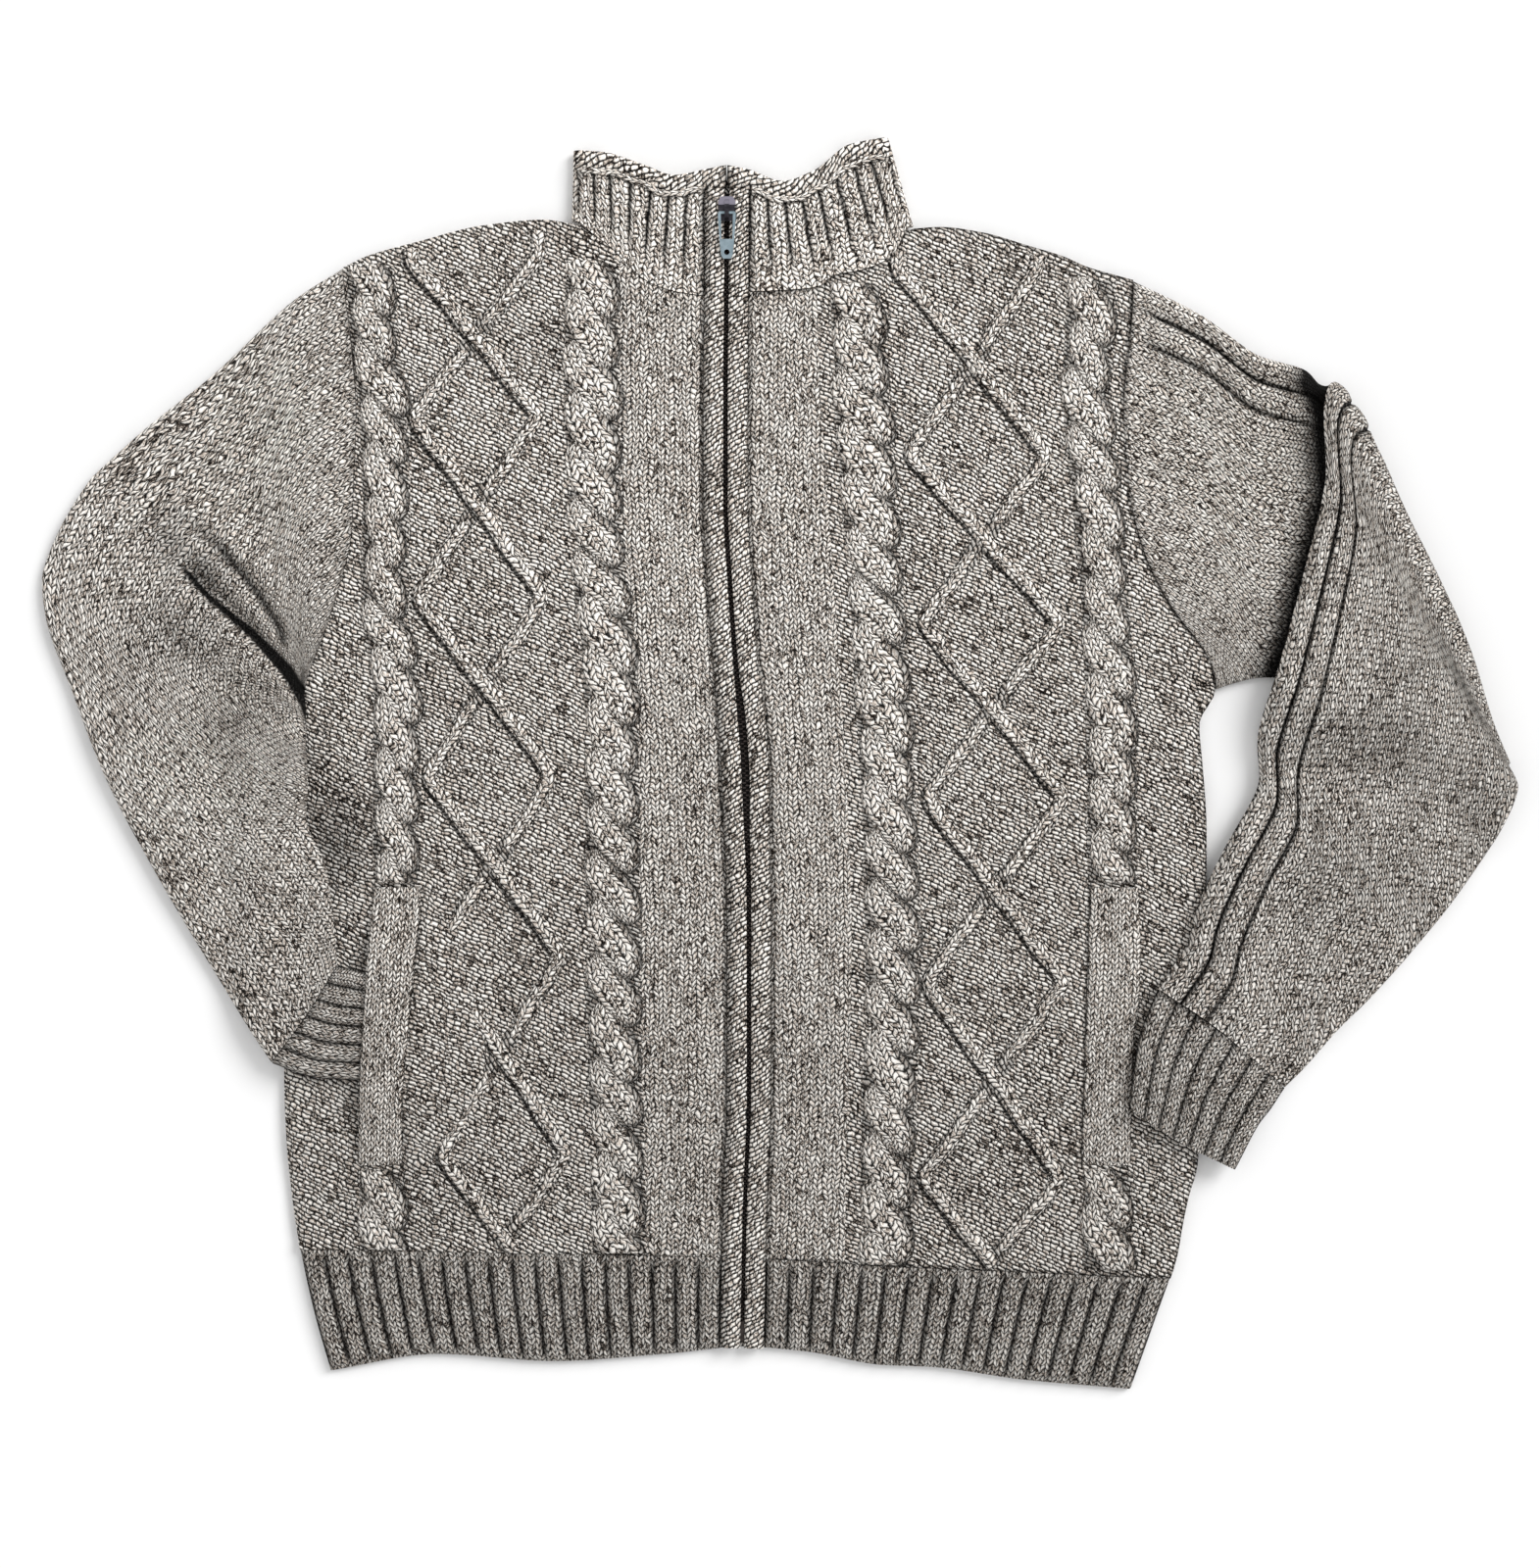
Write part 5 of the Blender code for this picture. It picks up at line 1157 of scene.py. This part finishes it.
rightCuff = ((224.0, -133.3, 263.4, -160.6, 300.5, -192.5, 7.8), (216, -152, 254, -179.5, 292, -205, 7.6),
             (211.4, -168.8, 247, -191.5, 284.5, -214, 7.4), (206.8, -203.6, 239, -224.5, 270, -240, 7.2))
foldLook = {"top": (325.6, 223.9), "foot": (427.3, 8.0), "middle": 10.0, "arc": 17.0}
foldStart, foldEnd = np.array(foldLook["top"]), np.array(foldLook["foot"])
foldRun = (foldEnd - foldStart) / np.linalg.norm(foldEnd - foldStart)
foldOut = np.array((-foldRun[1], foldRun[0]))
armholeHeight = 7.6


def leftSupport(x, y):
    onBody = easeStep(-332, -308, x) * easeStep(26, 6, y)
    return armholeHeight * onBody - 2.7 * easeStep(-235, -226, x)


def rightSupport(x, y):
    edge = np.interp(x, (290, 349, 423), (51, 42.5, 17))
    onArm = (2 * foldLook["middle"] - armholeHeight) * easeStep(-52, -2, y - edge)
    onBody = armholeHeight * easeStep(300, 270, x) + 3.2 * easeStep(236, 222, x)
    return np.maximum(onArm, onBody * easeStep(10, -10, y))


def supported(ring, support):
    return ring[0], ring[1], ring[2] + support(ring[0], ring[1])


def unfold(point):
    run, out = (point - foldStart) @ foldRun, (point - foldStart) @ foldOut
    return foldStart + run * foldRun + (foldLook["arc"] - out) * foldOut


def foldOver(x, y, z, tall):
    # takes points of the sleeve as it was before the elbow was folded, and folds them
    middle, arc = foldLook["middle"], foldLook["arc"]
    run = (x - foldStart[0]) * foldRun[0] + (y - foldStart[1]) * foldRun[1]
    out = (x - foldStart[0]) * foldOut[0] + (y - foldStart[1]) * foldOut[1]
    radius = middle - z
    angle = np.clip(out / arc, 0, 1) * np.pi
    away = np.where(out < arc, radius * np.sin(angle), -(out - arc))
    narrow = (0.55 + 0.45 * easeStep(-5, 40, run)) * (1 - 0.85 * easeStep(150, 240, run))
    away = away * np.where(away > 0, narrow, 1)
    away = np.where(out <= 0, out, away)
    newX = foldStart[0] + run * foldRun[0] + away * foldOut[0]
    newY = foldStart[1] + run * foldRun[1] + away * foldOut[1]
    drop = (2 * middle - tall - rightSupport(newX, newY)) * easeStep(arc, arc + 45, out)
    newZ = np.where(out <= 0, z, middle - radius * np.cos(angle) - np.where(out > arc, drop, 0))
    return newX, newY, newZ


def stationPaths(rows):
    return [np.array(row[:6], float).reshape(3, 2) for row in rows]


def stationRows(paths, extras, step):
    # paths are arrays of points across the sleeve. Gives rows a step apart, smooth from path to path
    shares = np.linspace(0, 1, 41)
    table = []
    for path in paths:
        dense = smoothPath(path, max(1.0, pathLength(np.asarray(path, float))[-1] / 60))
        length = pathLength(dense)
        table.append(np.stack([np.interp(shares * length[-1], length, dense[:, k]) for k in (0, 1)], axis=1))
    table = np.array(table)
    keys = pathLength(table[:, 20])
    at, place = [0.0], 0.0
    while place < keys[-1]:
        place += step(place)
        at.append(min(place, keys[-1]))
    at = np.array(at)
    plan = np.empty((len(at), 41, 2))
    for column in range(41):
        for axis in (0, 1):
            plan[:, column, axis] = along(list(zip(keys, table[:, column, axis])), at)
    more = [along(list(zip(keys, extra)), at) for extra in extras]
    return plan, at, more


def tubeGrid(plan, tall, fine, count, reliefTop, reliefLow, walls=3.5, soft=5.0):
    # outer and inner faces of a flattened tube: over the top from the outer edge, and back underneath
    length = np.stack([pathLength(row) for row in plan])
    wide = length[:, -1]
    edgeIn = np.array((0, 0.5, 1.3, 2.5, 4.0, 6.0))
    start = fine[-1] if fine else edgeIn[-1]
    shares = np.linspace(0, 1, count + 2)[1:]
    places = np.array([np.concatenate([edgeIn, fine, start + shares * (w - edgeIn[-1] - start),
                                       w - edgeIn[::-1][1:]]) for w in wide])
    wide = wide[:, None]
    soft = np.broadcast_to(np.asarray(soft, float), (len(plan),))[:, None]
    toEdge = np.minimum(places, wide - places)
    rounded = np.sqrt(np.clip(1 - (1 - np.clip(toEdge / soft, 0, 1)) ** 2, 0, 1))

    def onPlan(spots):
        return [np.stack([np.interp(spots[k], length[k], plan[k, :, axis]) for k in range(len(plan))])
                for axis in (0, 1)]

    def around(over, under):
        return np.concatenate([over, under[:, ::-1][:, 1:]], axis=1)

    x, y = onPlan(places)
    tall = tall[:, None]
    top = tall / 2 + rounded * (tall / 2 + reliefTop(places, x, y))
    low = tall / 2 - rounded * (tall / 2 + reliefLow(places, x, y))
    ring = (around(x, x), around(y, y), around(top, low))
    x, y = onPlan(walls + places * (wide - 2 * walls) / wide)
    spare = np.maximum(0.2, tall / 2 - walls) * rounded
    inner = (around(x, x), around(y, y), around(tall / 2 + spare, tall / 2 - spare))
    return ring, inner, around(places, places), around(0 * places, 0 * places + 1)


def tubeStitch(at, places, isLow, wale, tall):
    # wales keep their distance from the outer edge, and courses are counted down the middle
    return np.stack([np.where(isLow > 0, -places, places) / wale, -at[:, None] / tall + 0 * places], axis=-1)


def finishTube(name, ring, inner, stitch, finish, gap):
    cloth = Cloth()
    cloth.shell(np.stack(ring, axis=-1), np.stack(inner, axis=-1), stitch, 0.0, gap=np.clip(gap, 0, 1))
    return cloth.make(name, finish)


def armholePath(side):
    y = np.linspace(shoulderLine[side][0][1] - 0.5, armpitY[side], 24)
    return np.stack([along(sideEdge[side], y) + (-1 if side == "left" else 1) * 0.4, y], axis=1)


def makeLeftSleeve():
    paths = [armholePath("left")] + stationPaths(leftSleeve)
    plan, at, (tall,) = stationRows(paths, ([armholeHeight] + [row[6] for row in leftSleeve],),
                                    lambda place: 1.2 if 55 < place < 135 else 3.2)
    look = leftFold

    def lift(x, y):
        away, share = sideOf(x, y, look["edge"])
        forearm = -away  # above nought on the forearm
        strong = easeStep(0.0, 0.06, share) * easeStep(0.8, 0.55, share)
        roll = easeStep(-1.0, 3.5, forearm) * bell(np.maximum(forearm - 5, 0), 24)
        tuck, share = sideOf(x, y, look["tuck"])
        strongTuck = easeStep(0, 0.2, share) * easeStep(1.0, 0.9, share)
        tongue = bell(tuck + 9, 6) * (forearm < 0)
        soft, _ = sideOf(x, y, look["soft"])
        onBody = np.clip(leftSupport(x, y) / armholeHeight, 0, 1)
        z = strong * (look["high"] * roll * (1 - 0.55 * onBody) - 3.4 * bell(forearm + 4, 5))
        z = z + strongTuck * (-3.2 * bell(tuck, 4) + 1.8 * tongue + 2.2 * bell(tuck - 9, 9)) * (forearm < 3)
        return z + 2.0 * bell(soft, 9) - 1.6 * bell(soft - 16, 9)

    def relief(places, x, y):
        bend = 0.9 * np.sin(places / 17 + at[:, None] / 38) + 0.8 * np.sin(places / 29 - at[:, None] / 21)
        return bend + 0.6 * np.sin(x / 13 + y / 9) + lift(x, y)

    ring, inner, places, isLow = tubeGrid(plan, tall, (), 78, relief, lambda places, x, y: 0)
    # painted shadow under the forearm's edge in the fold and in a softer band beside it, painted shade in the
    # tuck's valley; the start at the armhole is darkened too, then the dark patches are added
    away, share = sideOf(ring[0], ring[1], look["edge"])
    black = easeStep(0.0, 0.05, share) * easeStep(0.64, 0.48, share)
    reach = 3.2 + 4.6 * easeStep(0.1, 0.42, share)
    gap = black * easeStep(-0.8, 0.4, away) * easeStep(1.15, 0.8, away / reach)
    gap = np.maximum(gap, 0.25 * black * (away > 0) * bell(away, 14))
    tuck, share = sideOf(ring[0], ring[1], look["tuck"])
    deep = easeStep(0.1, 0.5, share) * easeStep(1.0, 0.94, share)
    gap = np.maximum(gap, 0.85 * deep * bell(tuck, 2.6)) * (1 - isLow)
    begun = pathLength(np.stack([ring[0][:, 40], ring[1][:, 40]], axis=1))
    gap = np.maximum(gap, 0.3 * (1 - easeStep(0.5, 2.5, begun))[:, None])
    gap = gap + shadeAndToneBlots(ring[0], ring[1], patches["sleeveLeft"])
    stitch = tubeStitch(at, places, isLow, gauge["wide"], gauge["tall"])
    made = finishTube("sleeveLeftKnit", supported(ring, leftSupport), supported(inner, leftSupport), stitch,
                      woolSleeve, gap)
    declare(made, ["sleeve_left"])


# The ribbed strip down the outside of the right sleeve: place from the edge, height
stripMarks = ((0, 0.8), (5, 3.2), (8, 3.6), (12, 2.9), (14.6, 1.4), (16, -1.2), (17.4, 1.4), (20, 2.9),
              (25, 3.3), (30, 2.9), (32.6, 1.4), (34, -1.0), (35.4, 0.9), (38, 0.7), (46, 0.0))
stripPlaces = (8, 9.5, 11.5, 13.5, 14.6, 15.3, 16, 16.7, 17.4, 18.5, 21, 23.5, 26, 28.5, 31, 32.6, 33.3,
               34, 34.7, 35.4, 37, 40)
rightFold = {"edge": ((314, 226), (322.8, 208.2), (325.7, 161.8), (317, 127), (305.4, 80.6), (291, 45)),
             "extra": 9.0}


def stripRelief(places):
    return along(stripMarks, np.clip(places, 0, 46))


# painted shade in the strip's two grooves
def stripShade(places):
    return 0.95 * bell(places - 16, 1.6) + 0.85 * bell(places - 34, 1.5)


def makeRightSleeve():
    paths = [armholePath("right")] + stationPaths(rightUpperArm)
    tall = [armholeHeight] + [row[6] for row in rightUpperArm]
    turned = [0.0] * len(paths)
    foot = foldEnd + rightFold["extra"] * foldRun
    for share in np.arange(7) / 6:
        shift = foldOut * foldLook["arc"] * share
        paths.append(np.array([foldStart + shift, foot + shift]))
        tall.append(armholeHeight)
        turned.append(share)
    for row, path in zip(forearm, stationPaths(forearm)):
        paths.append(np.array([unfold(pair) for pair in path]))
        tall.append(row[6])
        turned.append(1.0)
    plan, at, (tall, turned) = stationRows(paths, (tall, turned), lambda place: 2.5)
    down = at[:, None]
    begun = easeStep(2, 22, down)
    bend = bell(turned - 0.5, 0.35)
    turned = turned[:, None]

    def topRelief(places, x, y):
        away, _ = sideOf(x, y, rightFold["edge"])
        dip = -3.0 * bell(np.maximum(-away, 0), 15) * easeStep(20, 40, down)
        waves = 0.8 * np.sin(places / 23 + down / 31) + 0.6 * np.sin(x / 15 - y / 11)
        return (stripRelief(places) * begun + waves + dip) * (1 - turned)

    def lowRelief(places, x, y):
        waves = 1.2 * np.sin(places / 21 - down / 27) + 1.2 * np.sin(places / 47 + down / 40)
        waves = waves + 0.8 * np.sin(places / 13 + down / 17)
        knobs = 0.5 * np.sin(down / 4.6) * (places < 14)
        return (stripRelief(places) * 1.15 + waves * easeStep(38, 60, places) + knobs) * turned

    ring, inner, places, isLow = tubeGrid(plan, tall, stripPlaces, 58, topRelief, lowRelief,
                                          soft=5 + 6 * bend)
    outer, hollow = (foldOver(*face, tall[:, None]) for face in (ring, inner))
    stitch = tubeStitch(at + 14.4 * turned[:, 0], places, isLow, gauge["wide"], gauge["tall"])
    # painted shadow of the forearm on the upper arm, painted shade in the strip's grooves and on the
    # underside of the fold's bend; the start at the armhole is darkened, then the dark patches are added
    away, _ = sideOf(outer[0], outer[1], rightFold["edge"])
    past = np.maximum(-away, 0)
    shade = 0.95 * bell(past, 10) + 0.22 * np.exp(-past / 18)
    shade = shade * (1 - turned) * (1 - isLow) * easeStep(20, 45, down)
    first = 0.7 * (1 - easeStep(0.5, 2.5, down)) + 0 * places
    strip = stripShade(places) * begun * ((isLow > 0) == (turned > 0.5))
    gap = np.maximum.reduce([strip, shade, first]) + 0.4 * bend[:, None] * (isLow > 0)
    gap = gap + shadeAndToneBlots(outer[0], outer[1], patches["sleeveRight"])
    made = finishTube("sleeveRightKnit", outer, hollow, stitch, woolSleeve, gap)
    declare(made, ["sleeve_right"])


cuffLook = {"ribs": {"left": 6, "right": 7}, "high": 2.2, "groove": 0.2, "wall": 3.2}


def makeCuff(side, rows, support):
    look = cuffLook
    plan, at, (tall,) = stationRows(stationPaths(rows), ([row[6] for row in rows],), lambda place: 2.0)
    ribs = look["ribs"][side]
    wide = np.array([pathLength(row)[-1] for row in plan])[:, None]

    def relief(places, x, y):
        return look["high"] * ribProfile(places / wide * ribs, look["groove"]) - 1.0

    def underRelief(places, x, y):
        return 0.4 * ribProfile(places / wide * ribs, look["groove"]) - 0.4

    ring, inner, places, isLow = tubeGrid(plan, tall, (), ribs * 9, relief, underRelief, look["wall"])
    phase = places / wide * ribs
    stitch = tubeStitch(at, phase * 3, isLow, 1.0, gauge["tall"])
    # painted shade in the rib grooves; the start at the sleeve is darkened too
    gap = np.maximum(0.92 * (1 - easeStep(0.02, 0.16, offGroove(phase))),
                     0.5 * (1 - easeStep(0.5, 3, at))[:, None])
    made = finishTube(f"cuff{side.title()}Knit", supported(ring, support), supported(inner, support), stitch,
                      woolRib, gap)
    declare(made, [f"cuff_{side}"])


makeLeftSleeve()
makeRightSleeve()
makeCuff("left", leftCuff, leftSupport)
makeCuff("right", rightCuff, rightSupport)
print("sleeves made")

for node, finish in (("zip_box", toothMetal), ("zip_slider", zipMetal), ("zip_pull", platePaint)):
    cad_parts[node].data.materials.clear()
    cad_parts[node].data.materials.append(finish)
bpy.data.objects.remove(ropeLobe)

# Floor, light and camera
stageLook = {"floor": (0.87, 0.87, 0.87), "key": 2.1, "soft": 30, "fill": 0.79, "from": (0.62, 0.5, 0.62)}
bpy.ops.mesh.primitive_plane_add(size=12, location=(0, 0, -0.0003))
floor = bpy.context.object
floor.name = "floor"
material, kit, _ = startMaterial("paleFloor")
endMaterial(kit, {"Base Color": (*stageLook["floor"], 1), "Roughness": 0.9, "Specular IOR Level": 0.1})
floor.data.materials.append(material)
floor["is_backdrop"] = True

key = bpy.data.lights.new("key", "SUN")
key.energy = stageLook["key"]
key.angle = math.radians(stageLook["soft"])
lamp = putIn("key", key)
lamp.location = Vector(stageLook["from"]) * 3
lamp.rotation_euler = Vector(stageLook["from"]).to_track_quat("Z", "Y").to_euler()
world = bpy.data.worlds.new("studio")
world.use_nodes = True
world.node_tree.nodes["Background"].inputs[0].default_value = (1, 1, 1, 1)
world.node_tree.nodes["Background"].inputs[1].default_value = stageLook["fill"]
bpy.context.scene.world = world
bpy.context.scene.view_settings.view_transform = "Standard"

cameraLook = {"lens": 70.0, "frameTall": 0.928, "x": -0.00493, "y": -0.01218, "plane": 0.008}
view = bpy.data.cameras.new("camera")
view.lens = cameraLook["lens"]
view.sensor_width = 36.0
camera = putIn("camera", view)
camera.location = (cameraLook["x"], cameraLook["y"],
                   cameraLook["plane"] + cameraLook["lens"] / 36.0 * cameraLook["frameTall"])
bpy.context.scene.camera = camera

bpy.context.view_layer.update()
triangles = {made.name: sum(len(face.vertices) - 2 for face in made.data.polygons)
             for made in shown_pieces() if made.type == "MESH"}
print("triangles:", triangles)
